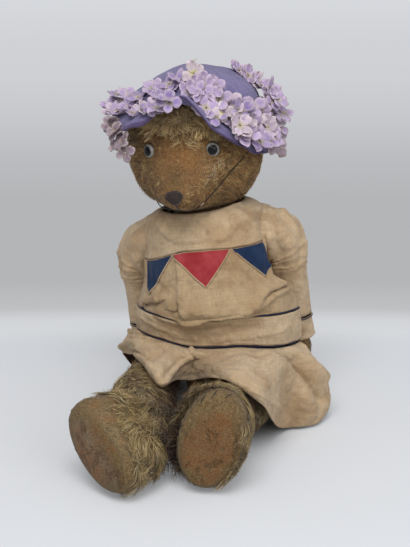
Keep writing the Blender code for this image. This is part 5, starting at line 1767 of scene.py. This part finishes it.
# Rings of an eye from its pupil outwards: how far each reaches, and its colour
EYE_RINGS = [(0.60, (6, 7, 8)), (0.68, (70, 70, 68)), (0.92, (150, 148, 140)), (math.inf, (96, 86, 70))]


def eye_piece(side, sign):
    """A glass eye: black pupil, grey iris, pale rim."""
    matrix = set_in_matrix(Vector((EYE_AIM.x * sign, EYE_AIM.y, EYE_AIM.z)), EYE_RADIUS * EYE_SINK)
    chance = random.Random(side)
    colours = []

    def point_at(polar, turn):
        across = math.sin(polar)
        x, z = across * math.cos(turn), across * math.sin(turn)
        front = polar < math.pi / 2.0 and across <= 0.93
        aside = math.hypot(x - PUPIL[side][0], z - PUPIL[side][1]) if front else 1.0
        index = next(i for i, (reach, _) in enumerate(EYE_RINGS) if aside < reach)
        colour = tone(*EYE_RINGS[index][1])
        if index == 2:
            colour = shade(colour, 1.0 + 0.12 * math.sin(9.0 * turn) + chance.uniform(-0.05, 0.05))
        colours.append(colour[:3])
        return matrix @ Vector((EYE_RADIUS * x, -EYE_RADIUS * 0.7 * math.cos(polar), EYE_RADIUS * z))

    rows = ball_rows(25, 48, point_at)
    piece = closed_piece(f"eye_{side}", rows, EYE, "head", [f"{side}_eye"], "eye_glass")
    paint(piece.data, "tint", np.array(colours + [tone(6, 7, 8)[:3], tone(60, 50, 40)[:3]]))


def ear_piece(side, sign):
    """A flat stuffed ear, folded down under the brim."""
    matrix = set_in_matrix(Vector((EAR_AIM.x * sign, EAR_AIM.y, EAR_AIM.z)), EAR_SINK)

    def point_at(polar, turn):
        point = ball_point(polar, turn)
        point.y *= 1.0 - 0.35 * max(0.0, -point.y) * (1.0 - point.z ** 2)
        return matrix @ (point * EAR_HALF)

    # The ear's backing painted darker than the head, as shade under the brim
    piece = closed_piece(f"ear_{side}", ball_rows(24, 40, point_at), BACKING, "head", [f"{side}_ear"],
                         colour_at=same(96, 72, 44))


NOSE_STITCHES = 15
NOSE_STITCH_RADIUS = 0.00062
MOUTH_RADIUS = 0.0008
NOSE_PAD = Vector((0.85, 0.9, 0.8)) * NOSE_HALF
MOUTH = [(0.0, -0.93, -0.42), (0.005, -0.90, -0.48), (0.0, -0.86, -0.56), (-0.004, -0.80, -0.62)]


def nose_piece():
    """The stitched nose: upright satin stitches of dark wool over a pad, and the mouth's thread."""
    matrix = set_in_matrix(NOSE_AIM, NOSE_SINK)

    def stitch_point(across, along):
        half_height = NOSE_HALF.z * 1.08 * math.sqrt(1.0 - 0.93 * across * across)
        x = NOSE_HALF.x * across * (0.86 + 0.14 * smooth_step((along + 1.0) / 1.4))
        bulge = math.sqrt(max(0.0, 1.0 - 0.8 * across ** 2 - 0.75 * along ** 2))
        return matrix @ Vector((x, -NOSE_HALF.y * (0.35 + 0.75 * bulge), half_height * along))

    paths = [[stitch_point(-1.0 + 2.0 * across, 1.0 - 2.0 * down) for down in shares(8)]
             for across in shares(NOSE_STITCHES - 1)]
    cord_piece("nose_stitches", paths, NOSE_STITCH_RADIUS, NOSE_WOOL, "head", ["nose"], sides=8)
    rows = ball_rows(14, 24, lambda *turns: matrix @ (ball_point(*turns) * NOSE_PAD))
    closed_piece("nose_pad", rows, WOOL, "head", (), "stitching")
    path = [NECK @ head_point(Vector(aim), 0.0004) for aim in curve_through(MOUTH, 12)]
    cord_piece("mouth_thread", [path], MOUTH_RADIUS, WOOL, "head")


def arm_centre(side, sign, drop):
    """The middle of an arm at a drop below the shoulder, in the shoulder's frame."""
    out, back, width, depth = between(ARM, drop)
    across = sign * (ARM_THICKNESS / 2.0 + GAP + out + ARM_SPLAY[side] * max(drop, 0.0))
    return Vector((across, back, -drop)), width, depth


ARM_SLIM = 0.28
ARM_TOP_DROP = 0.008
CLAW_DROPS = (0.150, 0.160)
PAW_CLAW_RADIUS = 0.0007


def arm_piece(side, sign):
    """A stuffed arm that hangs from its shoulder, with its paw pad and claw stitches."""
    rows = []
    for share in shares(48):
        drop = ARM[0][0] + (ARM[-1][0] - ARM[0][0]) * share
        centre, width, depth = arm_centre(side, sign, drop)
        centre -= UP * ARM_TOP_DROP * max(0.0, 1.0 - (drop + 0.022) / 0.030)
        slim = 1.0 - ARM_SLIM * (1.0 - smooth_step((drop - 0.025) / 0.020))
        row = []
        for turn in full_turns(32):
            across = max(-ARM_THICKNESS / 2.0, width * math.cos(turn))
            across *= slim if across > 0.0 else 1.0
            point = centre + Vector((sign * across, depth * math.sin(turn) * slim, 0.0))
            row.append(SHOULDER[side] @ point)
        rows.append(row)
    piece = closed_piece(f"arm_{side}", rows, BACKING, f"{side}_arm", [f"{side}_arm"],
                         colour_at=same(108, 84, 54))
    centre, _, depth = arm_centre(side, sign, PAW_PAD_DROP)
    spot = centre + Vector((0.0, -depth + GAP, 0.0))
    rows = ball_rows(18, 28, lambda *turns: SHOULDER[side] @ (spot + ball_point(*turns) * PAW_PAD_HALF))
    pad = closed_piece(f"paw_pad_{side}", rows, FELT, f"{side}_arm", [f"{side}_paw_pad"], "felt",
                       same(104, 80, 52))
    start, wide, deep = arm_centre(side, sign, CLAW_DROPS[0])
    tip, width, depth = arm_centre(side, sign, CLAW_DROPS[1])
    claws = []
    for step in (-0.5, 0.0, 0.5):
        ends = (start + Vector((step * wide * 1.2, -deep * (0.85 - abs(step) * 0.3), 0.0)),
                tip + Vector((step * width * 1.4, -depth * 0.9, 0.0)))
        claws.append([SHOULDER[side] @ end for end in ends])
    cord_piece(f"claws_{side}_paw", claws, PAW_CLAW_RADIUS, WOOL, f"{side}_arm")
    return piece


def round_spot(wide, high, middle, size):
    """1 in the middle of a round patch of a foot, 0 away from it."""
    return np.exp(-((wide - middle[0]) ** 2 + (high - middle[1]) ** 2) / size ** 2)


def sole_colours(side):
    """A painting function for a sole: rust at the worn edge, grey where the felt is threadbare."""
    def colour_at(points):
        wide, high, _ = foot_shares(side, points)
        if side == "left":
            spots = [((116, 80, 46), 0.8 * round_spot(wide, high, (0.004, 0.008), 0.016)),
                     ((124, 84, 50), 0.7 * round_spot(wide, high, (-0.006, -0.022), 0.012))]
        else:
            low = (points - np.array(FOOT_CENTRE[side])) @ np.array([-0.8, 0.0, -0.6])
            spots = [((120, 74, 38), 0.85 * np.exp(-((low - 0.020) / 0.010) ** 2)),
                     ((124, 110, 86), 0.6 * np.exp(-((low - 0.002) / 0.009) ** 2)),
                     ((78, 48, 26), 0.7 * np.exp(-((high + 0.034) / 0.012) ** 2))]
        spots.append(((92, 80, 46), 0.7 * eased(np.hypot(wide / 0.024, high / 0.036), 0.82, 1.0)))
        base = same(104, 78, 48)(points)
        for colour, share in spots:
            base = over(base, tone(*colour), share)
        return base

    return colour_at


def foot_colours(side):
    """A painting function for a leg: dark under the pile, tan where the foot is worn bare."""
    def colour_at(points):
        wide, high, deep = foot_shares(side, points)
        front = eased(deep, -0.026, -0.012)
        bare = over(same(84, 64, 38)(points), tone(106, 88, 58), front)
        if side == "right":
            band = np.exp(-((high - 0.004) / 0.026) ** 2) * eased(wide, 0.004, 0.016) * front
            bare = over(bare, tone(120, 106, 82), 0.7 * band)
        return bare

    return colour_at


# The foot pad's dome: how far each ring stands out, and its size
SOLE_DOME = [(0.0003, 1.0), (0.0010, 1.006), (0.0017, 0.995), (0.0023, 0.965), (0.0027, 0.92), (0.0031, 0.84),
             (0.0035, 0.72), (0.0038, 0.58), (0.0040, 0.42), (0.0042, 0.26), (0.0042, 0.12)]
LEG_COLUMNS = 72
THIGH_END = 0.0482


def leg_piece(side, sign):
    """A stuffed leg with its foot, and the foot's pad."""
    rows = []
    face = hip_place(sign).x + sign * GAP
    for share in shares(60):
        reach = LEG[0][0] + (LEG[-1][0] - LEG[0][0]) * share
        row = leg_ring(side, sign, (reach, *between(LEG, reach)), LEG_COLUMNS)
        if reach < THIGH_END:
            for point in row:
                point.x = max(point.x, face) if sign > 0 else min(point.x, face)
        rows.append(row)
    piece = closed_piece(f"leg_{side}", rows, BACKING, f"{side}_leg", [f"{side}_leg"],
                         colour_at=foot_colours(side))

    reach, width, height, share = LEG[-1]
    end = (reach, width * PAD_WIDTH_SHARE, height * PAD_HEIGHT_SHARE, share)
    down = foot_frame(side)[1] * -PAD_DROP
    rows = [[point + down for point in leg_ring(side, sign, end, LEG_COLUMNS, lift, scale)]
            for lift, scale in SOLE_DOME]
    pad = closed_piece(f"sole_{side}", rows, FELT, f"{side}_leg", [f"{side}_foot_pad"], "felt",
                       sole_colours(side))
    return piece


# Claw stitches on the feet: start and end in the foot's frame in millimetres
CLAWS = {
    "left": [((-7.2, 46.1, -3.4), (-10.0, 40.9, 7.2)), ((6.0, 46.0, -3.0), (1.2, 44.1, 6.5)),
             ((21.1, 34.2, -15.1), (9.4, 32.0, 9.0)), ((-16.2, 39.7, 0.7), (-18.3, 33.4, 7.2))],
    "right": [((12.9, 42.0, 2.5), (4.7, 36.0, 9.0))],
}
CLAW_RADIUS = 0.00062
CLAW_BOW = 0.0012


def claws_piece(side):
    """Dark claw stitches over the toes."""
    across, up, out = foot_frame(side)
    paths = []
    for start, end in CLAWS[side]:
        ends = [FOOT_CENTRE[side] + (across * x + up * y + out * z) * MILLIMETRE for x, y, z in (start, end)]
        middle = (ends[0] + ends[1]) * 0.5
        middle += (middle - FOOT_CENTRE[side]).normalized() * CLAW_BOW
        paths.append(curve_through([ends[0], middle, ends[1]], 10))
    cord_piece(f"claws_{side}", paths, CLAW_RADIUS, WOOL, f"{side}_leg")


# The hat

HAT_COLUMNS = 180


def brim_wave(turn):
    """Slight waves of the brim's edge."""
    wave = math.sin(9.0 * turn + 1.0) + 0.7 * math.sin(14.0 * turn + 2.6) + 0.5 * math.sin(23.0 * turn)
    return 0.0008 * wave


def hat_piece():
    """Crown and brim in one cloth shell, with a dark band along the edge."""
    turns = full_turns(HAT_COLUMNS)
    rows = [[crown_point(turn, 1.0 - r / 37.0) for turn in turns] for r in range(1, 37)]
    alongs = [1.0] * len(rows) + [1.0 - share for share in shares(30)]
    for along in alongs[len(rows):]:
        rows.append([hat_point(turn, along) + UP * brim_wave(turn) * (1.0 - along) ** 1.5 for turn in turns])
    rows = [[HAT @ (point + UP * (crumple(point, 0.0010, 34.0) + crumple(point, 0.0006, 80.0, 2.0)))
             for point in row] for row in rows]
    mesh = grid_mesh("hat_shell", rows, caps=((0, True),))
    hat = place("hat_shell", mesh, LAVENDER, "head", ["hat"], "hat_cloth")
    widths = [0.17 - 0.09 * smooth_step((math.sin(turn) + 0.1) / 0.3) for turn in turns]
    band = [smooth_step((wide - along) / 0.03) for along in alongs for wide in widths]
    paint(mesh, "band", np.tile(np.array(band + [0.0])[:, None], (1, 3)))
    thicken(hat, HAT_CLOTH, -1.0)


def petal_points(width, length, cup, twist, curl):
    """A rounded petal as rows of points: it starts at the origin and grows along +Y."""
    rows = []
    for r in range(6):
        along = r / 5.0
        half = width * 0.5 * math.sin(math.pi * min(0.10 + 0.80 * along, 1.0)) ** 0.62 * (0.70 + 0.45 * along)
        row = []
        for c in range(5):
            across = -1.0 + c / 2.0
            y = length * along * (1.0 - 0.16 * across * across * along)
            ripple = 0.05 * math.sin(5.0 * across + 9.0 * twist) * along
            z = length * (cup * along ** 1.4 + curl * across * across * along + ripple)
            row.append(Vector((half * across, y, z + twist * half * across * along)))
        rows.append(row)
    return rows


PETAL_THICKNESS = 0.0003
CREAM = tone(224, 208, 196)


def petal_colour(hue, heart_colour, r, c):
    """The colour of a petal's point: the heart's at its foot, creamy at its rim, darker along its middle."""
    rim = 0.42 * max(abs(c - 2.0) / 2.0, r / 5.0) ** 4
    heart = 0.8 * max(0.0, 1.0 - r / 1.5) ** 0.7
    vein = 0.90 if c == 2 and 0 < r < 5 else 1.0
    petal = [hue[k] * vein * (1.0 - rim) + CREAM[k] * rim for k in range(3)]
    return [petal[k] * (1.0 - heart) + heart_colour[k] * heart for k in range(3)]


def florets_piece(name, places, replaced):
    """A spray of four-petalled florets: place, axis, size, tint, heart."""
    corners, faces, colours = [], [], []
    chance = random.Random(name)
    for spot, axis, size, tint, heart_colour in places:
        across = axis.orthogonal().normalized()
        ahead = axis.cross(across)
        spin = chance.uniform(0.0, math.pi / 2.0)
        closing = chance.uniform(-0.05, 0.42)
        for petal in range(4):
            turn = spin + math.pi / 2.0 * petal + chance.uniform(-0.18, 0.18)
            length = size * chance.uniform(0.85, 1.12)
            width = length * chance.uniform(0.85, 1.10)
            cup = closing + chance.uniform(-0.15, 0.25)
            rows = petal_points(width, length, cup, chance.uniform(-0.55, 0.55), chance.uniform(-0.22, 0.30))
            forward = across * math.cos(turn) + ahead * math.sin(turn)
            sideways = axis.cross(forward)
            hue = shade(tint, chance.uniform(0.84, 1.14))
            for r in range(5):
                for c in range(4):
                    first = len(corners) + r * 5 + c
                    faces.append((first, first + 1, first + 6, first + 5))
            for r, row in enumerate(rows):
                for c, point in enumerate(row):
                    corner = spot + sideways * point.x + forward * (point.y + size * 0.06) + axis * point.z
                    corners.append(tuple(corner))
                    colours.append(petal_colour(hue, heart_colour, r, c))
    mesh = array_mesh(name, np.array(corners), np.array(faces))
    paint(mesh, "tint", np.array(colours))
    thicken(place(name, mesh, PETAL, "head", replaced, "petals"), PETAL_THICKNESS, 0.0)


HEART = tone(176, 170, 96)
HEARTS = {"D": tone(132, 112, 96), "Y": tone(206, 196, 78)}
TINTS = {"L": tone(164, 144, 186), "V": tone(134, 114, 168), "F": tone(184, 168, 186),
         "Y": tone(200, 186, 194), "D": tone(112, 94, 104)}

# Florets seen in the photograph: x, y, z in the hat's frame in millimetres, and their tint
SEEN = [
    (-72, -4, -1, "L"), (-51, -45, 3, "V"), (-45, -46, 12, "V"), (-22, -60, 19, "V"), (-3, -85, 20, "V"),
    (-13, -54, 30, "V"), (-7, -51, 34, "V"), (-31, -49, 23, "L"), (-45, -61, -1, "L"),
    (-33, -66, 5, "F"), (-17, -81, 9, "L"), (-79, -9, 6, "V"), (-83, -17, -7, "L"), (-66, -40, -7, "L"),
    (-70, -49, -19, "L"), (-60, -65, -21, "V"), (-56, -67, -32, "D"), (-46, -71, -39, "D"),
    (7, -40, 42, "Y"), (10, -59, 30, "L"), (16, -50, 36, "L"), (27, -50, 33, "L"), (23, -58, 27, "L"),
    (36, -52, 25, "L"), (42, -53, 12, "Y"), (60, -33, 3, "Y"), (48, -45, 20, "F"), (58, -35, 14, "V"),
    (51, -45, 4, "L"), (68, -25, -2, "F"), (62, -51, -5, "L"), (75, -31, -11, "L"), (76, 25, -8, "L"),
    (68, 11, 3, "L"), (65, -20, 16, "L"), (70, 15, 16, "F"), (77, 15, 20, "L"), (89, 27, 6, "L"),
    (86, 24, -8, "L"), (89, 13, -26, "D"), (39, 17, 44, "L"), (49, 17, 40, "L"), (63, 16, 32, "L"),
    (70, 17, 29, "L"), (-18, -66, 17, "F"), (-26, -73, 10, "V"), (-65, -15, 8, "L"), (-55, -51, 1, "L"),
    (-75, -33, -8, "F"), (-51, -70, -28, "D"), (22, -55, 34, "L"), (70, -9, 11, "L"), (81, 27, 0, "F"),
    (85, 24, -21, "V"), (57, 16, 35, "F"), (87, -14, -19, "D"),
    (28, -64, 16, "L"), (37, -61, 9, "V"), (50, -51, 7, "L"), (59, -52, 1, "F"), (68, -46, -6, "L"),
    (78, -36, -13, "V"), (84, -12, -13, "L"), (83, 23, -14, "F"), (68, -30, 0, "L"),
    (77, -13, -4, "F"), (54, -45, 14, "V"), (77, 26, 1, "L"),
]

# Which way florets face, how far they stand out and how big they are, on the left and elsewhere
LEFT_END = -5
DULL_EDGE = (-50, -12)
FLORET_OUT = {True: 0.30, False: 0.55}
FLORET_UP = {True: 0.90, False: 0.50}
DULL_UP = 0.1
FLORET_TOWARD = {True: 0.22, False: 0.75}
FLORET_LIFT = {True: 0.003, False: 0.007}
YELLOW_LIFT = 0.0115
LEFT_RISE = 0.0025
SMALL_FLORET = (0.0092, 0.0108)
LARGE_FLORET = (0.0104, 0.0124)
FILL_FLORET = (0.0100, 0.0120)

# Stems between the florets, in the hat's frame in millimetres
STEMS = [[(-6, -58, 30), (-5, -53, 36), (-1, -45, 41), (0, -36, 45), (-1, -16, 49), (-6, 14, 51)],
         [(8, -52, 38), (3, -46, 42), (-2, -40, 43), (-8, -38, 41)],
         [(-30, -54, 25), (-24, -52, 29), (-16, -52, 32), (-9, -50, 36)],
         [(-10, -62, 26), (-14, -60, 30), (-19, -52, 33)],
         [(-78, -20, -6), (-70, -16, 4), (-60, -14, 10)], [(70, -20, 0), (66, -10, 10), (60, 4, 18)]]
STEM_RADIUS = 0.0006


def flowers():
    """Sprays of florets round the brim, and the stems between them."""
    chance = random.Random(41)
    upright = HAT.to_3x3()
    toward = Vector((math.sin(CAMERA_TURN), -math.cos(CAMERA_TURN), 0.30)).normalized()

    def scattered(amount):
        return Vector([chance.uniform(-amount, amount) for _ in range(3)])

    def floret(spot, aim, size, tint, heart):
        return HAT @ spot, (upright @ aim).normalized(), size, TINTS[tint], heart

    sprays = [[] for _ in range(FLORETS)]
    shown = list(SEEN)
    for x, y, z, kind in SEEN:
        if kind in "LVF" and chance.random() < 0.6:
            x, y, z = x + chance.uniform(-6, 6), y + chance.uniform(-4, 4), z + chance.uniform(-1, 2)
            shown.append((x, y, z, kind))
    for x, y, z, kind in shown:
        left = x < LEFT_END
        if x < DULL_EDGE[0] and z < DULL_EDGE[1]:
            kind = "D"
        aim = Vector((x, y, 0.0)).normalized() * FLORET_OUT[left] + toward * FLORET_TOWARD[left]
        aim += UP * (FLORET_UP[left] if kind != "D" else DULL_UP)
        lift = YELLOW_LIFT if kind == "Y" and not left else FLORET_LIFT[left]
        spot = Vector((x, y, z)) * MILLIMETRE + toward * lift + UP * (LEFT_RISE if left else 0.0)
        aim += scattered(0.30)
        index = int((math.atan2(x, -y) % (math.tau)) / (math.tau) * FLORETS)
        size = chance.uniform(*(SMALL_FLORET if left or kind == "D" else LARGE_FLORET))
        sprays[index].append(floret(spot, aim, size, kind, HEARTS.get(kind, HEART)))
    for index, places in enumerate(sprays):
        middle = math.tau * (index + 0.5) / FLORETS
        while len(places) < 5:
            turn = middle + chance.uniform(-0.26, 0.26)
            spot = hat_point(turn, chance.uniform(0.08, 0.60))
            up = (outward(turn) * 0.5 + UP * 0.8).normalized()
            aim = up + scattered(0.35)
            tint = chance.choice("LLFV")
            spot += up * chance.uniform(0.003, 0.007)
            places.append(floret(spot, aim, chance.uniform(*FILL_FLORET), tint, HEART))
        florets_piece(f"spray_{index + 1:02d}", places, [f"floret_{index + 1:02d}"])
    paths = [[HAT @ (Vector(point) * MILLIMETRE) for point in curve_through(stem, 14)] for stem in STEMS]
    cord_piece("flower_stems", paths, STEM_RADIUS, STEM, "head", slot="petals")


ELASTIC_STEPS = 90
ELASTIC_THREAD = 0.00058
ELASTIC_LIFT = ELASTIC_SIDE_GAP + 0.0008
KNOT_STEP = 41
KNOT_TURN = 0.0005
KNOT_THREAD = 0.0006


def elastic_piece():
    """The dark elastic from the brim under the chin to the brim, knotted in front."""
    path = []
    for aim in curve_through(ELASTIC_AIMS, ELASTIC_STEPS):
        point = head_point(aim, ELASTIC_LIFT)
        point.z = max(point.z, ELASTIC_FLOOR)
        path.append(NECK @ point)
    cord_piece("hat_elastic", [path], ELASTIC_THREAD, ELASTIC, "head", ["chin_elastic"], "elastic")
    ahead = (path[KNOT_STEP + 2] - path[KNOT_STEP - 2]).normalized()
    knot = [path[KNOT_STEP] + ahead * KNOT_TURN * (t - 4.0) + Vector((0.0, -0.0006, KNOT_TURN * (-1.0) ** t))
            for t in range(9)]
    cord_piece("elastic_knot", [knot], KNOT_THREAD, PALE_THREAD, "head", slot="elastic")


# Floor, light and camera

# The floor as the camera sees it, with a painted darker band of shade some way behind the bear: distance from
# the bear in metres, colour
FLOOR_STOPS = [
    (0.38, (219, 221, 224)), (0.42, (212, 214, 217)), (0.47, (191, 192, 194)), (0.60, (180, 181, 182)),
    (0.83, (179, 180, 182)), (1.15, (180, 181, 183)), (1.55, (186, 187, 190)), (2.2, (198, 199, 203)),
    (3.25, (206, 207, 211)), (5.2, (209, 210, 214)), (10.0, (214, 216, 220)),
]
FLOOR_RINGS = [0.2, 0.5, 1.0, 2.0, 4.0, 8.0, 16.0]
FLOOR_LEVEL = 0.96
FLOOR_OWN = 0.22
FLOOR_DROP = 0.0003
FLOOR_SHIFT = 0.15
FLOOR_LOG_SHIFT = 0.05
FLOOR_SQUARENESS = 6.0
WORLD_COLOUR = tone(214, 216, 220)
WORLD_LIGHT = 0.70
KEY_LAMP = ((0.10, -0.95, 1.55), 19.5)
FILL_LAMP = ((1.2, -1.0, 0.9), 6.0)


def floor_piece():
    """A wide floor painted with a darker band of shade behind the bear, pale near it and towards the horizon.
    """
    view = Vector((-math.sin(CAMERA_TURN), math.cos(CAMERA_TURN), 0.0))
    sideways = Vector((math.cos(CAMERA_TURN), math.sin(CAMERA_TURN), 0.0))
    rows = [[Vector((radius * math.cos(turn), radius * math.sin(turn), 0.0)) for turn in full_turns(64)]
            for radius in FLOOR_RINGS]
    mesh = grid_mesh("floor", rows, caps=((0, True),))
    floor = bpy.data.objects.new("floor", mesh)
    bpy.context.scene.collection.objects.link(floor)
    f = Finish("floor_painted_light_and_shade", roughness=0.9, specular_ior_level=0.1)
    middle = TARGET - view * FLOOR_SHIFT
    shifted = f.vector("SUBTRACT", f.place, (middle.x, middle.y, 0.0))
    powers = [f.maths("POWER", f.maths("ABSOLUTE", f.vector("DOT_PRODUCT", shifted, axis, "Value")),
                      FLOOR_SQUARENESS) for axis in (view, sideways)]
    away = f.maths("POWER", f.maths("ADD", *powers), 1.0 / FLOOR_SQUARENESS)
    depth = f.maths("LOGARITHM", f.maths("ADD", away, FLOOR_LOG_SHIFT), 10.0)
    low, high = math.log10(0.40), math.log10(10.2)
    along = f.node("MapRange", {"Value": depth, "From Min": low, "From Max": high}).outputs[0]
    ramp = f.node("ValToRGB", {0: along})
    marks = ramp.color_ramp.elements
    while len(marks) < len(FLOOR_STOPS):
        marks.new(0.5)
    for mark, (distance, _) in zip(marks, FLOOR_STOPS):
        mark.position = (math.log10(distance + FLOOR_LOG_SHIFT) - low) / (high - low)
    for mark, (_, colour) in zip(marks, FLOOR_STOPS):
        mark.color = tone(*colour)
    f.done(f.mix(1.0, ramp.outputs[0], shade((1.0, 1.0, 1.0), FLOOR_LEVEL), "MULTIPLY"))
    # Camera, glossy and transmission rays see the floor partly glowing in the ramp's colours: painted light,
    # a share near the bear and all of it far off
    rays = f.node("LightPath", {}).outputs
    seen = f.maths("ADD", rays["Is Camera Ray"], rays["Is Glossy Ray"])
    seen = f.maths("ADD", seen, rays["Is Transmission Ray"])
    near = f.vector("LENGTH", f.place, output="Value")
    own = f.maths("MULTIPLY", f.maths("MINIMUM", seen, 1.0), f.window(away, 0.30, 0.46, FLOOR_OWN, 1.0))
    own = f.maths("MULTIPLY", own, f.window(near, 0.085, 0.13, 0.0, 1.0))
    painted_glow = f.node("Emission", {"Color": ramp.outputs[0]}).outputs[0]
    both = f.node("MixShader", {0: own, 1: f.shader.outputs[0], 2: painted_glow}).outputs[0]
    f.feed(f.tree.nodes["Material Output"].inputs["Surface"], both)
    mesh.materials.append(f.material)
    floor.location.z = -FLOOR_DROP


def area_light(name, place_at, power):
    """A soft square lamp of 1 metre aimed at the bear."""
    lamp = bpy.data.lights.new(name, "AREA")
    lamp.size = 1.0
    lamp.energy = power
    made = bpy.data.objects.new(name, lamp)
    made.location = place_at
    made.rotation_euler = (TARGET - Vector(place_at)).to_track_quat("-Z", "Y").to_euler()
    bpy.context.scene.collection.objects.link(made)


def light_and_camera():
    """Soft studio light, an even pale world and the photograph's camera."""
    scene = bpy.context.scene
    scene.world = bpy.data.worlds.new("studio")
    scene.world.use_nodes = True
    background = scene.world.node_tree.nodes["Background"]
    background.inputs["Color"].default_value = WORLD_COLOUR
    background.inputs["Strength"].default_value = WORLD_LIGHT
    area_light("key", *KEY_LAMP)
    area_light("fill", *FILL_LAMP)
    camera = bpy.data.cameras.new("camera")
    camera.sensor_fit = "AUTO"
    camera.sensor_width = FILM
    camera.lens = FILM * FOCAL_PIXELS / PHOTO_HEIGHT
    camera.clip_end = 60.0
    made = bpy.data.objects.new("camera", camera)
    back = Vector((math.sin(CAMERA_TURN) * math.cos(CAMERA_RISE),
                   -math.cos(CAMERA_TURN) * math.cos(CAMERA_RISE), math.sin(CAMERA_RISE)))
    made.location = TARGET + back * CAMERA_DISTANCE
    made.rotation_euler = (-back).to_track_quat("-Z", "Y").to_euler()
    scene.collection.objects.link(made)
    scene.camera = made
    scene.view_settings.view_transform = "Standard"


def side_pieces(side, sign):
    """Everything that the bear has once on each side."""
    eye_piece(side, sign)
    ear_piece(side, sign)
    arm = arm_piece(side, sign)
    leg = leg_piece(side, sign)
    sleeve_piece(side, sign)
    arm_fur(side, sign, arm)
    leg_fur(side, sign, leg)
    thigh_fur_painted_shade(side, sign, leg)
    claws_piece(side)


light_and_camera()
floor_piece()
torso_piece()
HEAD = head_piece()
nose_piece()
for SIDE, SIGN in SIDES:
    side_pieces(SIDE, SIGN)
for FUR in (forehead_fur, face_fur, back_fur, cheek_fur):
    FUR(HEAD)
yoke_piece()
bodice_piece()
belt_pieces()
skirt_piece()
for SIDE in PENNANTS:
    pennant_piece(SIDE)
stitching()
hat_piece()
flowers()
elastic_piece()
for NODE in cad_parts:
    NODE_OBJECT = bpy.data.objects.get(NODE)
    if NODE_OBJECT is not None and NODE.endswith(("_disc", "_pin")):
        NODE_OBJECT.data.materials.clear()
        NODE_OBJECT.data.materials.append(STEEL if NODE.endswith("_pin") else BOARD)
